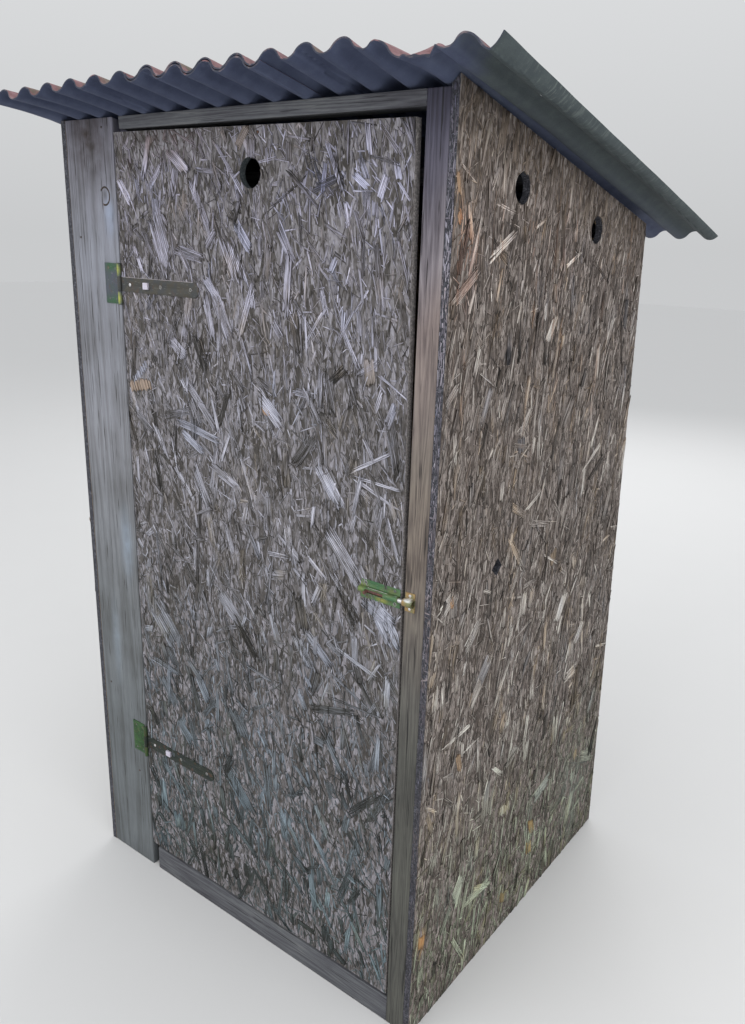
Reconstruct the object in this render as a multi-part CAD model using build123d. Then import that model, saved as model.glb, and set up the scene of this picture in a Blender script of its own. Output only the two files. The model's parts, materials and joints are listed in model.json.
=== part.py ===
from build123d import *
import math
import os

# A garden outhouse of chipboard sheets on a timber frame, under two corrugated roof sheets.
# Millimetres. X runs to the right as one faces the door, Y runs from the front to the back,
# Z runs up. The origin is on the ground under the middle of the floor.

# Cabin shell
CABIN_WIDTH = 1250.0
BASE_DEPTH = 1156.0
BACK_LEAN = 3.91
FRONT_HEIGHT = 2278.0
ROOF_SLOPE = 11.75
PANEL = 18.0
SEAT = 0.3
CUT = 1.0

# Timber sections
POST_WIDTH = 55.0
POST_DEPTH = 60.0
BASE_HEIGHT = 80.0
BASE_THICK = 60.0
RAIL_DEPTH = 45.0
RAIL_WIDTH = 55.0
PURLIN_WIDTH = 60.0
PURLIN_BACK = 495.0
GIRT_HEIGHT = 45.0
GIRT_Z = 1040.0

# Hinge board on the left of the door
BOARD_WIDTH = 199.0
BOARD_THICK = 24.0
HINGE_POST_LAP = 28.0

# Floor
FLOOR_THICK = 22.0
FLOOR_BOARDS = 5
FLOOR_GAP = 3.0
DOOR_BACK_GAP = 6.0

# Door leaf, out of square as it hangs
DOOR_SIDE_GAP = 5.0
DOOR_SILL_GAP = 10.0
DOOR_LATCH_GAP = 5.5
DOOR_HEAD_GAP = 6.0
DOOR_TOP_DROP = 12.0
DOOR_TOP_INSET = 16.5
DOOR_KNEE_Z = 960.0
HEAD_RAIL_HEIGHT = 31.0

# Vent holes
VENT_RADIUS = 33.5
DOOR_VENT_X = 484.0
DOOR_VENT_DROP = 141.0
SIDE_VENTS = [(271.0, 105.0), (679.0, 95.0)]

# Right wall's top at the front corner, raised into the roof's wave, and how far it slopes inward
SCRIBE_RISE = 20.0
SCRIBE_STEP = 15.0

# Ragged knot-out in the right wall: its middle from the front and from the ground
KNOT_BACK = 291.0
KNOT_Z = 1243.0
KNOT_RADII = [23.0, 17.0, 25.0, 19.0, 27.0, 18.0, 22.0, 15.0]

# Roof sheets
WAVE_PITCH = 88.0
WAVE_HEIGHT = 23.8
SHEET_THICK = 3.0
SHEET_HALF_WAVE_COUNT = 21
LAPPED_HALF_WAVE_COUNT = 9
ROOF_RIGHT = 795.0
ROOF_FRONT_LAP = 174.0
ROOF_BACK_LAP = 1228.0
ROOF_SKEW = 1.46
LAP_CLEARANCE = 0.1

# Strap hinges
LOWER_HINGE_Z = 472.0
UPPER_HINGE_DROP = 409.0
LEAF = 2.5
PIN_RADIUS = 3.0
PIN_CLEARANCE = 0.05
PIN_HEAD_RADIUS = 4.6
PIN_HEAD = 1.5
PLATE_LENGTH = 64.0
PLATE_HEIGHT = 105.0
STRAP_LENGTH = 306.0
STRAP_WIDTH = 38.0
KNUCKLE_GAP = 0.5
HINGE_HOLE_RADIUS = 2.6
STRAP_HOLE_FROM_PIN = 40.0
STRAP_HOLE_FROM_END = 30.0
STRAP_HOLE_PAST_SQUARE = 58.0
SQUARE_HOLE = 11.0
SQUARE_HOLE_AT = 104.0

# Sliding bolt
LATCH_Z = 1229.0
LATCH_LENGTH = 112.0
LATCH_HEIGHT = 46.0
LATCH_PLATE = 2.0
LATCH_EDGE = 2.0
BOLT_RADIUS = 5.5
BOLT_PLAY = 0.3
BOLT_TRAVEL = 40.0
TUNNEL_WALL = 1.6
KNOB_RADIUS = 4.0
KNOB_REACH = 11.0
KNOB_PLAY = 2.0
KNOB_CHAMFER = 1.2
SLOT_FROM_LEFT = 20.0
KEEPER_LENGTH = 26.0
KEEPER_SET = 3.0
KEEPER_PLAY = 2.0
TIP_GAP = 1.5
TIP_CHAMFER = 1.5
LATCH_HOLE_RADIUS = 2.2
LATCH_HOLE_INSET = 7.0

# Planes that the pieces share
LEFT = -CABIN_WIDTH / 2
RIGHT = CABIN_WIDTH / 2
IN_LEFT = LEFT + PANEL
IN_RIGHT = RIGHT - PANEL
FRONT = -BASE_DEPTH / 2
LEAN = math.tan(math.radians(BACK_LEAN))
FALL = math.tan(math.radians(ROOF_SLOPE))
BOARD_RIGHT = IN_LEFT + BOARD_WIDTH
HINGE_POST_LEFT = BOARD_RIGHT - HINGE_POST_LAP
HINGE_POST_RIGHT = HINGE_POST_LEFT + POST_WIDTH
LATCH_POST_LEFT = IN_RIGHT - POST_WIDTH
LEFT_POSTS_BACK = FRONT + BOARD_THICK + POST_DEPTH
POST_OFFSET = PANEL + POST_DEPTH
DOOR_LEFT = BOARD_RIGHT + DOOR_SIDE_GAP
DOOR_RIGHT = LATCH_POST_LEFT - DOOR_LATCH_GAP
DOOR_BOTTOM = BASE_HEIGHT + DOOR_SILL_GAP
HEAD_Z = FRONT_HEIGHT - HEAD_RAIL_HEIGHT
DOOR_TOP = HEAD_Z - DOOR_HEAD_GAP
KNUCKLE_RADIUS = PIN_RADIUS + PIN_CLEARANCE + LEAF
PIN_X = BOARD_RIGHT + DOOR_SIDE_GAP / 2
PIN_Y = FRONT - KNUCKLE_RADIUS
FLANK = 2 * math.atan2(WAVE_HEIGHT, WAVE_PITCH / 2)
SHEET_WIDTH = SHEET_HALF_WAVE_COUNT * WAVE_PITCH / 2
ROOF_LEFT = ROOF_RIGHT - 2 * SHEET_WIDTH + LAPPED_HALF_WAVE_COUNT * WAVE_PITCH / 2
HINGE_HEIGHTS = {"lower": LOWER_HINGE_Z, "upper": FRONT_HEIGHT - UPPER_HINGE_DROP}


def back_y(z, offset=0.0):
    """Y of the leaning back face at height z, moved forward by offset."""
    return FRONT + BASE_DEPTH - z * LEAN - offset


def under_roof(y):
    """Height of the timber tops under the roof at y."""
    return FRONT_HEIGHT - SEAT - (y - FRONT) * FALL


def roof_meet(offset, drop=0.0):
    """Point where a line that leans with the back meets the timber tops, less drop."""
    top = FRONT_HEIGHT - SEAT - drop - (BASE_DEPTH - offset) * FALL
    z = top / (1 - FALL * LEAN)
    return (back_y(z, offset), z)


def prism_x(points, x_low, x_high):
    """Solid whose side outline is a list of (y, z) points."""
    outline = make_face(Polyline(*points, close=True))
    return extrude(Plane.YZ.offset(x_low) * outline, amount=x_high - x_low, dir=(1, 0, 0))


def prism_y(points, y_low, y_high):
    """Solid whose front outline is a list of (x, z) points."""
    outline = make_face(Polyline(*points, close=True))
    return extrude(Plane.XZ.offset(-y_low) * outline, amount=y_high - y_low, dir=(0, 1, 0))


def block(x_span, y_span, z_span):
    """Squared timber between three pairs of limits."""
    centre = Pos(sum(x_span) / 2, sum(y_span) / 2, sum(z_span) / 2)
    return centre * Box(x_span[1] - x_span[0], y_span[1] - y_span[0], z_span[1] - z_span[0])


def rod_x(radius, x_low, x_high, y, z):
    """Round bar along X."""
    return Pos((x_low + x_high) / 2, y, z) * Rot(0, 90, 0) * Cylinder(radius, x_high - x_low)


def rod_y(radius, y_low, y_high, x, z):
    """Round bar along Y."""
    return Pos(x, (y_low + y_high) / 2, z) * Rot(90, 0, 0) * Cylinder(radius, y_high - y_low)


def rod_z(radius, z_low, z_high, x, y):
    """Round bar along Z."""
    return Pos(x, y, (z_low + z_high) / 2) * Cylinder(radius, z_high - z_low)


# Walls
def upright(x_span, y_span, foot=0.0):
    """Vertical timber whose top is sawn to the slope of the roof."""
    near, far = y_span
    points = [(near, foot), (far, foot), (far, under_roof(far)), (near, under_roof(near))]
    return prism_x(points, *x_span)


def leaning(x_span, near, far, z_low, z_high):
    """Piece that leans with the back, between two offsets from the back face."""
    points = [(back_y(z_low, near), z_low), (back_y(z_low, far), z_low)]
    points += [(back_y(z_high, far), z_high), (back_y(z_high, near), z_high)]
    return prism_x(points, *x_span)


def leaning_to_roof(x_span, near, far, drop=None):
    """Leaning piece that ends under the roof, from the ground or a drop below the roof."""
    foot = [(back_y(0, near), 0), (back_y(0, far), 0)]
    if drop is not None:
        foot = [roof_meet(near, drop), roof_meet(far, drop)]
    return prism_x(foot + [roof_meet(far), roof_meet(near)], *x_span)


def side_wall(x_low, rise=0.0):
    """Side sheet with two sawn vent holes, its front top corner raised by rise."""
    points = [(FRONT, 0), (back_y(0), 0), roof_meet(0), (FRONT, under_roof(FRONT) + rise)]
    wall = prism_x(points, x_low, x_low + PANEL)
    for back, drop in SIDE_VENTS:
        y = FRONT + back
        wall -= rod_x(VENT_RADIUS, x_low - CUT, x_low + PANEL + CUT, y, under_roof(y) - drop)
    return wall


def scribe_cut():
    """Wedge taken off the right wall's top, so that it follows the flank of the roof's wave."""
    y_back, z_back = roof_meet(0)
    z_front = under_roof(FRONT) + SCRIBE_RISE
    fall = (z_front - z_back) / (y_back - FRONT)
    section = [(IN_RIGHT - CUT, -SCRIBE_STEP * (1 + CUT / PANEL)), (RIGHT, 0)]
    section += [(RIGHT + CUT, SCRIBE_STEP), (IN_RIGHT - CUT, SCRIBE_STEP)]
    sides = []
    for y in (FRONT - CUT, y_back + CUT):
        z = z_front - (y - FRONT) * fall
        points = [(x, y, z + up) for x, up in section]
        sides.append(make_face(Polyline(*points, close=True)))
    return loft(sides)


def knot_hole():
    """Ragged hole through the right wall."""
    points = []
    for count, radius in enumerate(KNOT_RADII):
        angle = 2 * math.pi * count / len(KNOT_RADII)
        y = FRONT + KNOT_BACK + radius * math.cos(angle)
        points.append((y, KNOT_Z + radius * math.sin(angle)))
    return prism_x(points, IN_RIGHT - CUT, RIGHT + CUT)


# Roof
def wave_chain(first, count, offset):
    """Tangent arcs along one face of a sheet, offset from its middle line."""
    quarter = WAVE_PITCH / 4
    radius = quarter / math.sin(FLANK)
    arcs = []
    for half in range(first, first + count):
        sign = -1 if half % 2 == 0 else 1
        centre = Vector((2 * half + 1) * quarter, -sign * radius * math.cos(FLANK))
        reach = radius + sign * offset
        ends = [Vector(side * math.sin(FLANK), sign * math.cos(FLANK)) for side in (-1, 1)]
        peak = centre + Vector(0, sign) * reach
        arcs.append(ThreePointArc(centre + ends[0] * reach, peak, centre + ends[1] * reach))
    return arcs


def roof_sheet(first_half_wave, rise):
    """One corrugated sheet in place, lifted by rise where it laps the other."""
    count = SHEET_HALF_WAVE_COUNT
    under = wave_chain(first_half_wave, count, -SHEET_THICK / 2)
    over = wave_chain(first_half_wave, count, SHEET_THICK / 2)
    ends = [Line(under[0] @ 0, over[0] @ 0), Line(under[-1] @ 1, over[-1] @ 1)]
    section = make_face(under + over + ends)
    lift = WAVE_HEIGHT / 2 + SHEET_THICK / 2 + rise
    section = Plane.XZ * Pos(ROOF_LEFT, lift) * section
    sheet = extrude(section, amount=ROOF_FRONT_LAP, dir=(0, -1, 0))
    sheet += extrude(section, amount=ROOF_BACK_LAP, dir=(0, 1, 0))
    return Pos(0, FRONT, FRONT_HEIGHT) * Rot(-ROOF_SLOPE, 0, 0) * Rot(0, 0, ROOF_SKEW) * sheet


# Hinges
def hinge_fixed_leaf(z):
    """Leaf on the hinge board, with the outer knuckles."""
    half = PLATE_HEIGHT / 2
    leaf = block((PIN_X - PLATE_LENGTH, PIN_X), (FRONT - LEAF, FRONT), (z - half, z + half))
    leaf += rod_z(KNUCKLE_RADIUS, z - half, z + half, PIN_X, PIN_Y)
    reach = KNUCKLE_RADIUS + KNUCKLE_GAP
    notch = STRAP_WIDTH / 2 + KNUCKLE_GAP
    leaf -= block((PIN_X - reach, PIN_X + reach), (PIN_Y - reach, FRONT + CUT), (z - notch, z + notch))
    leaf -= rod_z(PIN_RADIUS + PIN_CLEARANCE, z - half - CUT, z + half + CUT, PIN_X, PIN_Y)
    for dx in (0.25, 0.7):
        for dz in (-0.38, 0.38):
            x = PIN_X - PLATE_LENGTH * dx - KNUCKLE_RADIUS / 2
            hole_z = z + PLATE_HEIGHT * dz
            leaf -= rod_y(HINGE_HOLE_RADIUS, FRONT - LEAF - CUT, FRONT + CUT, x, hole_z)
    return leaf


def hinge_strap(z):
    """Long strap on the door, with the middle knuckle and a rounded end."""
    half = STRAP_WIDTH / 2
    round_centre = PIN_X + STRAP_LENGTH - half
    strap = block((PIN_X, round_centre), (FRONT - LEAF, FRONT), (z - half, z + half))
    strap += rod_y(half, FRONT - LEAF, FRONT, round_centre, z)
    strap += rod_z(KNUCKLE_RADIUS, z - half, z + half, PIN_X, PIN_Y)
    strap -= rod_z(PIN_RADIUS + PIN_CLEARANCE, z - half - CUT, z + half + CUT, PIN_X, PIN_Y)
    middle = SQUARE_HOLE_AT + STRAP_HOLE_PAST_SQUARE
    for along in (STRAP_HOLE_FROM_PIN, middle, STRAP_LENGTH - STRAP_HOLE_FROM_END):
        strap -= rod_y(HINGE_HOLE_RADIUS, FRONT - LEAF - CUT, FRONT + CUT, PIN_X + along, z)
    side = SQUARE_HOLE / 2
    square_x = PIN_X + SQUARE_HOLE_AT
    through = (FRONT - LEAF - CUT, FRONT + CUT)
    return strap - block((square_x - side, square_x + side), through, (z - side, z + side))


def hinge_pin(z):
    """Pin with a flat head above and below the knuckles."""
    half = PLATE_HEIGHT / 2
    pin = rod_z(PIN_RADIUS, z - half, z + half, PIN_X, PIN_Y)
    pin += rod_z(PIN_HEAD_RADIUS, z + half, z + half + PIN_HEAD, PIN_X, PIN_Y)
    pin += rod_z(PIN_HEAD_RADIUS, z - half - PIN_HEAD, z - half, PIN_X, PIN_Y)
    return pin


# Door and bolt
def door_edge_x(z):
    """X of the door's latch edge at height z."""
    share = max(0.0, (z - DOOR_KNEE_Z) / (DOOR_TOP - DOOR_TOP_DROP - DOOR_KNEE_Z))
    return DOOR_RIGHT - DOOR_TOP_INSET * share


def door_panel():
    """Door sheet, out of square, with one vent hole."""
    low = [(DOOR_LEFT, DOOR_BOTTOM), (DOOR_RIGHT, DOOR_BOTTOM), (DOOR_RIGHT, DOOR_KNEE_Z)]
    high = [(DOOR_RIGHT - DOOR_TOP_INSET, DOOR_TOP - DOOR_TOP_DROP), (DOOR_LEFT, DOOR_TOP)]
    panel = prism_y(low + high, FRONT, FRONT + PANEL)
    vent_z = FRONT_HEIGHT - DOOR_VENT_DROP
    return panel - rod_y(VENT_RADIUS, FRONT - CUT, FRONT + PANEL + CUT, DOOR_LEFT + DOOR_VENT_X, vent_z)


BOLT_Y = FRONT - LATCH_PLATE - BOLT_PLAY - BOLT_RADIUS
LATCH_RIGHT = door_edge_x(LATCH_Z) - LATCH_EDGE
LATCH_LEFT = LATCH_RIGHT - LATCH_LENGTH
KEEPER_LEFT = LATCH_POST_LEFT + KEEPER_SET
KNOB_X = LATCH_LEFT + SLOT_FROM_LEFT + KNOB_RADIUS + KNOB_PLAY


def tunnel(x_span, inner):
    """Arched sleeve pressed out of a plate, for the bolt to run through."""
    outer = inner + TUNNEL_WALL
    low, high = x_span
    body = rod_x(outer, low, high, BOLT_Y, LATCH_Z)
    body += block(x_span, (BOLT_Y, FRONT), (LATCH_Z - outer, LATCH_Z + outer))
    body -= rod_x(inner, low - CUT, high + CUT, BOLT_Y, LATCH_Z)
    foot = FRONT - LATCH_PLATE
    body -= block((low - CUT, high + CUT), (BOLT_Y, foot), (LATCH_Z - inner, LATCH_Z + inner))
    return body - block((low - CUT, high + CUT), (FRONT, FRONT + outer), (LATCH_Z - outer, LATCH_Z + outer))


def screw_plate(x_span, rows):
    """Flat plate with screw holes near its long edges."""
    half = LATCH_HEIGHT / 2
    plate = block(x_span, (FRONT - LATCH_PLATE, FRONT), (LATCH_Z - half, LATCH_Z + half))
    for x in rows:
        for side in (-1, 1):
            hole_z = LATCH_Z + side * (half - LATCH_HOLE_INSET)
            plate -= rod_y(LATCH_HOLE_RADIUS, FRONT - LATCH_PLATE - CUT, FRONT + CUT, x, hole_z)
    return plate


def latch_plate():
    """Bolt plate on the door: sleeve with a slot for the knob."""
    span = (LATCH_LEFT, LATCH_RIGHT)
    rows = [LATCH_LEFT + 2 * LATCH_HOLE_INSET, LATCH_RIGHT - 2 * LATCH_HOLE_INSET]
    plate = screw_plate(span, rows) + tunnel(span, BOLT_RADIUS + BOLT_PLAY)
    slot_low = LATCH_LEFT + SLOT_FROM_LEFT
    slot_high = KNOB_X + BOLT_TRAVEL + KNOB_RADIUS + KNOB_PLAY
    gap = KNOB_RADIUS + KNOB_PLAY / 4
    top = BOLT_Y - BOLT_RADIUS - BOLT_PLAY - TUNNEL_WALL
    return plate - block((slot_low, slot_high), (top - CUT, BOLT_Y), (LATCH_Z - gap, LATCH_Z + gap))


def latch_bolt():
    """Round bolt with a knob, drawn back so that its tip is just short of the keeper."""
    tip = KEEPER_LEFT - TIP_GAP
    rod = rod_x(BOLT_RADIUS, LATCH_LEFT + LATCH_EDGE, tip, BOLT_Y, LATCH_Z)
    rod = chamfer(rod.edges().sort_by(Axis.X)[-1], TIP_CHAMFER)
    end = BOLT_Y - BOLT_RADIUS - BOLT_PLAY - TUNNEL_WALL - KNOB_REACH
    knob = rod_y(KNOB_RADIUS, end, BOLT_Y, KNOB_X, LATCH_Z)
    knob = chamfer(knob.edges().sort_by(Axis.Y)[0], KNOB_CHAMFER)
    return rod + knob


def latch_keeper():
    """Keeper on the latch post, with a wider arch."""
    span = (KEEPER_LEFT, KEEPER_LEFT + KEEPER_LENGTH)
    plate = screw_plate(span, [sum(span) / 2])
    return plate + tunnel(span, BOLT_RADIUS + KEEPER_PLAY)


# Assembly
def base_frame():
    """Ground timbers between the feet of the posts."""
    pieces = {}
    back = POST_OFFSET
    doorway = (HINGE_POST_RIGHT, LATCH_POST_LEFT)
    pieces["sill_front"] = block(doorway, (FRONT, FRONT + BASE_THICK), (0, BASE_HEIGHT))
    for name, x_low, y_low in (
        ("base_left", IN_LEFT, LEFT_POSTS_BACK),
        ("base_right", IN_RIGHT - BASE_THICK, FRONT + POST_DEPTH),
        ("joist_middle", -BASE_THICK / 2, FRONT + BASE_THICK),
    ):
        points = [(y_low, 0), (back_y(0, back), 0), (back_y(BASE_HEIGHT, back), BASE_HEIGHT)]
        points.append((y_low, BASE_HEIGHT))
        pieces[name] = prism_x(points, x_low, x_low + BASE_THICK)
    between = (IN_LEFT + POST_WIDTH, IN_RIGHT - POST_WIDTH)
    pieces["base_back"] = leaning(between, PANEL, back, 0, BASE_HEIGHT)
    return pieces


def floor():
    """Floor boards across the cabin, the first one set between the door posts."""
    pieces = {}
    z_span = (BASE_HEIGHT, BASE_HEIGHT + FLOOR_THICK)
    start = FRONT + PANEL + DOOR_BACK_GAP
    doorway = (HINGE_POST_RIGHT, LATCH_POST_LEFT)
    pieces["floor_board_1"] = block(doorway, (start, LEFT_POSTS_BACK - FLOOR_GAP), z_span)
    depth = back_y(z_span[1], POST_OFFSET) - LEFT_POSTS_BACK
    pitch = depth / FLOOR_BOARDS
    for count in range(FLOOR_BOARDS):
        near = LEFT_POSTS_BACK + count * pitch
        far = near + pitch - FLOOR_GAP
        pieces[f"floor_board_{count + 2}"] = block((IN_LEFT, IN_RIGHT), (near, far), z_span)
    return pieces


def posts():
    """Five posts that stand on the ground and carry the roof."""
    left = (IN_LEFT, IN_LEFT + POST_WIDTH)
    right = (LATCH_POST_LEFT, IN_RIGHT)
    behind_board = (FRONT + BOARD_THICK, LEFT_POSTS_BACK)
    return {
        "post_front_left": upright(left, behind_board),
        "post_hinge": upright((HINGE_POST_LEFT, HINGE_POST_RIGHT), behind_board),
        "post_latch": upright(right, (FRONT, FRONT + POST_DEPTH)),
        "post_back_left": leaning_to_roof(left, PANEL, POST_OFFSET),
        "post_back_right": leaning_to_roof(right, PANEL, POST_OFFSET),
    }


def rails():
    """Timbers under the roof and half way up the walls."""
    pieces = {}
    doorway = (HINGE_POST_RIGHT, LATCH_POST_LEFT)
    pieces["rail_front"] = upright(doorway, (FRONT, FRONT + POST_DEPTH), HEAD_Z)
    girt_top = GIRT_Z + GIRT_HEIGHT
    for side, x_low, y_low in (
        ("left", IN_LEFT, LEFT_POSTS_BACK),
        ("right", IN_RIGHT - RAIL_WIDTH, FRONT + POST_DEPTH),
    ):
        span = (x_low, x_low + RAIL_WIDTH)
        top = [(y_low, under_roof(y_low) - RAIL_DEPTH), roof_meet(POST_OFFSET, RAIL_DEPTH)]
        top += [roof_meet(POST_OFFSET), (y_low, under_roof(y_low))]
        pieces[f"rail_{side}"] = prism_x(top, *span)
        middle = [(y_low, GIRT_Z), (back_y(GIRT_Z, POST_OFFSET), GIRT_Z)]
        middle += [(back_y(girt_top, POST_OFFSET), girt_top), (y_low, girt_top)]
        pieces[f"girt_{side}"] = prism_x(middle, *span)
    between = (IN_LEFT + RAIL_WIDTH, IN_RIGHT - RAIL_WIDTH)
    pieces["rail_back"] = leaning_to_roof(between, PANEL, POST_OFFSET, RAIL_DEPTH)
    pieces["girt_back"] = leaning(between, PANEL, POST_OFFSET, GIRT_Z, girt_top)
    near = FRONT + PURLIN_BACK - PURLIN_WIDTH / 2
    far = near + PURLIN_WIDTH
    points = [(near, under_roof(near) - RAIL_DEPTH), (far, under_roof(far) - RAIL_DEPTH)]
    points += [(far, under_roof(far)), (near, under_roof(near))]
    pieces["purlin_middle"] = prism_x(points, *between)
    return pieces


def walls():
    """Chipboard skin and the board that carries the hinges."""
    return {
        "wall_left": side_wall(LEFT),
        "wall_right": side_wall(IN_RIGHT, SCRIBE_RISE) - scribe_cut() - knot_hole(),
        "wall_back": leaning_to_roof((IN_LEFT, IN_RIGHT), 0, PANEL),
        "hinge_board": upright((IN_LEFT, BOARD_RIGHT), (FRONT, FRONT + BOARD_THICK)),
    }


def roof():
    """Two corrugated sheets, the right one lapped over the left one."""
    rise = (SHEET_THICK + LAP_CLEARANCE) / math.cos(FLANK)
    return {
        "roof_sheet_left": roof_sheet(0, 0.0),
        "roof_sheet_right": roof_sheet(SHEET_HALF_WAVE_COUNT - LAPPED_HALF_WAVE_COUNT, rise),
    }


def door():
    """Door leaf, its two strap hinges and its bolt."""
    pieces = {"door_panel": door_panel()}
    for name, z in HINGE_HEIGHTS.items():
        pieces[f"{name}_hinge_leaf"] = hinge_fixed_leaf(z)
        pieces[f"{name}_hinge_strap"] = hinge_strap(z)
        pieces[f"{name}_hinge_pin"] = hinge_pin(z)
    pieces["latch_plate"] = latch_plate()
    pieces["latch_bolt"] = latch_bolt()
    pieces["latch_keeper"] = latch_keeper()
    return pieces


os.makedirs("parts", exist_ok=True)
for group in (base_frame(), floor(), posts(), rails(), walls(), roof(), door()):
    for node, shape in group.items():
        export_step(shape, f"parts/{node}.step")
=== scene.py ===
import json
import math
from contextlib import contextmanager

import bpy
import numpy as np
from bpy.props import FloatProperty, FloatVectorProperty, IntProperty, PointerProperty
from bpy.types import Operator, Panel, PropertyGroup
from mathutils import Matrix, Vector


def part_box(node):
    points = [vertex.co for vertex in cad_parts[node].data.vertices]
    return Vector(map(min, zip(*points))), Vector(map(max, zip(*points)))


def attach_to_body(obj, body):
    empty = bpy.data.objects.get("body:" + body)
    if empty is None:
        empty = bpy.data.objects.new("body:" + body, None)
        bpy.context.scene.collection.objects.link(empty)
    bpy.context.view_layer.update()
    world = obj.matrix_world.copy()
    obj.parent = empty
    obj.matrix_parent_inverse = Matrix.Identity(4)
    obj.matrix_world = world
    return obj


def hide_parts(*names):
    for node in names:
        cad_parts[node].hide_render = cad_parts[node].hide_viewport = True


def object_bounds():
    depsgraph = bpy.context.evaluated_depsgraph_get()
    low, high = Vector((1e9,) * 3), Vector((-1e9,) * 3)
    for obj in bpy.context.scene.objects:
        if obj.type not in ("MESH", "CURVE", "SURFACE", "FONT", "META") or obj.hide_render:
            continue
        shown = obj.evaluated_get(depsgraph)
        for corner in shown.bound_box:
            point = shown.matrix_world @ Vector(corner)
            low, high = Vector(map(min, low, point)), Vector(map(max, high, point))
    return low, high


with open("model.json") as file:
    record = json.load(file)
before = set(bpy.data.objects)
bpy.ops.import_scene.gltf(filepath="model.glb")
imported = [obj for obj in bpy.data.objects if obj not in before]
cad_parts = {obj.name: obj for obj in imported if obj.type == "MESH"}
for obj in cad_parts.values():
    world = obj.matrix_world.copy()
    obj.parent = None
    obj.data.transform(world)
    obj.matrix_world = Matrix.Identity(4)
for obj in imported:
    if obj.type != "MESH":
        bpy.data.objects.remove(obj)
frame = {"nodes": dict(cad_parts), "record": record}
CAD_BOX = [list(corner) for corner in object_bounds()]

bl_info = {
    "name": "Weathered outhouse",
    "version": (1, 0, 0),
    "blender": (4, 5, 0),
    "location": "View3D > Sidebar > Outhouse",
    "description": "Dresses a chipboard outhouse with flakes, grain, rust and worn roof sheets",
    "category": "Object",
}

# Metres, in the frame of the construction model: X to the right as one faces the door,
# Y from the front to the back, Z up. The cabin stands on Z = 0.
MM = 0.001
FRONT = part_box("door_panel")[0].y
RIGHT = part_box("wall_right")[1].x
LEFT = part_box("wall_left")[0].x
BACK_LEAN = math.radians(3.91)
ROOF_SLOPE = math.radians(11.75)
ROOF_SKEW = math.radians(1.46)
ROOF_FRONT_LAP = 0.17
ROOF_FRONT_HEIGHT = 2.278

# Holes that the flakes stop at: the sawn vents, and the ragged knot hole in the right wall
VENT_RADIUS = 0.0335
KNOT_HOLE = (RIGHT, FRONT + 0.291, 1.243)
KNOT_HOLE_RADIUS = 0.026


# Modelling helpers
MERGE_WITHIN = 0.01 * MM
FLAT_WITHIN = math.radians(0.5)


def deselect():
    """Clears the selection, so that the next operator acts on nothing else."""
    bpy.ops.object.select_all(action="DESELECT")


def only(obj):
    """Selects one object and makes it active."""
    deselect()
    obj.select_set(True)
    bpy.context.view_layer.objects.active = obj


@contextmanager
def editing(obj):
    """Edit mode on one object, with everything in it selected."""
    only(obj)
    bpy.ops.object.mode_set(mode="EDIT")
    bpy.ops.mesh.select_all(action="SELECT")
    yield
    bpy.ops.object.mode_set(mode="OBJECT")


def modify(obj, kind, **settings):
    """Adds a modifier, sets it and applies it."""
    only(obj)
    modifier = obj.modifiers.new(kind.title(), kind)
    for key, value in settings.items():
        setattr(modifier, key, value)
    bpy.ops.object.modifier_apply(modifier=modifier.name)


def settle(obj):
    """Moves the object's place into its mesh."""
    only(obj)
    bpy.ops.object.transform_apply(location=True, rotation=True, scale=True)


def paint(obj, finish):
    """Gives the piece its finish."""
    obj.data.materials.clear()
    obj.data.materials.append(finish)


def dress_copy(node):
    """A merged copy of a construction node, ready to be shaped."""
    obj = bpy.data.objects.new(f"{node}_dressed", frame["nodes"][node].data.copy())
    bpy.context.scene.collection.objects.link(obj)
    obj.data.materials.clear()
    with editing(obj):
        bpy.ops.mesh.remove_doubles(threshold=MERGE_WITHIN)
        bpy.ops.mesh.dissolve_limited(angle_limit=FLAT_WITHIN)
    return obj


def smooth(obj, degrees):
    """Smooths the shading, apart from edges that are sharper than an angle."""
    only(obj)
    bpy.ops.object.shade_smooth_by_angle(angle=math.radians(degrees))


def attach(obj, finish, body, slot, *nodes):
    """Paints a finished piece and lets it ride on its body. The slot is not used.

    Nodes are the construction nodes that the piece stands for.
    """
    paint(obj, finish)
    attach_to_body(obj, body)
    if nodes:
        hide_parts(*nodes)


def slice_along(obj, axis, low, high, pitch):
    """Cuts the mesh across an axis at an even pitch, so that it can be shaped there."""
    normal = Vector(axis)
    count = max(1, round((high - low) / pitch))
    with editing(obj):
        for step in range(1, count):
            bpy.ops.mesh.select_all(action="SELECT")
            at = low + (high - low) * step / count
            bpy.ops.mesh.bisect(plane_co=normal * at, plane_no=normal)


def roughen(obj, depth, size, stretch, shift):
    """Displaces the surface with a cloud pattern, stretched along the grain and shifted."""
    cloud = bpy.data.textures.new("clouds", "CLOUDS")
    cloud.noise_scale = size
    cloud.noise_depth = 2
    guide = bpy.data.objects.new("grain_guide", None)
    bpy.context.scene.collection.objects.link(guide)
    guide.scale = stretch
    guide.location = (shift, shift * 0.7, shift * 1.3)
    bpy.context.view_layer.update()
    modify(
        obj, "DISPLACE", texture=cloud, texture_coords="OBJECT", texture_coords_object=guide,
        strength=depth, mid_level=0.5,
    )
    bpy.data.objects.remove(guide)
    bpy.data.textures.remove(cloud)


def keep_in_box(obj):
    """Holds the shaped mesh inside the construction model's box."""
    low, high = CAD_BOX
    for vertex in obj.data.vertices:
        vertex.co = [min(max(c, a), b) for c, a, b in zip(vertex.co, low, high)]


def join(parts, name):
    """Joins like parts into one piece."""
    only(parts[0])
    for part in parts:
        part.select_set(True)
    if len(parts) > 1:
        bpy.ops.object.join()
    parts[0].name = name
    return parts[0]


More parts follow.
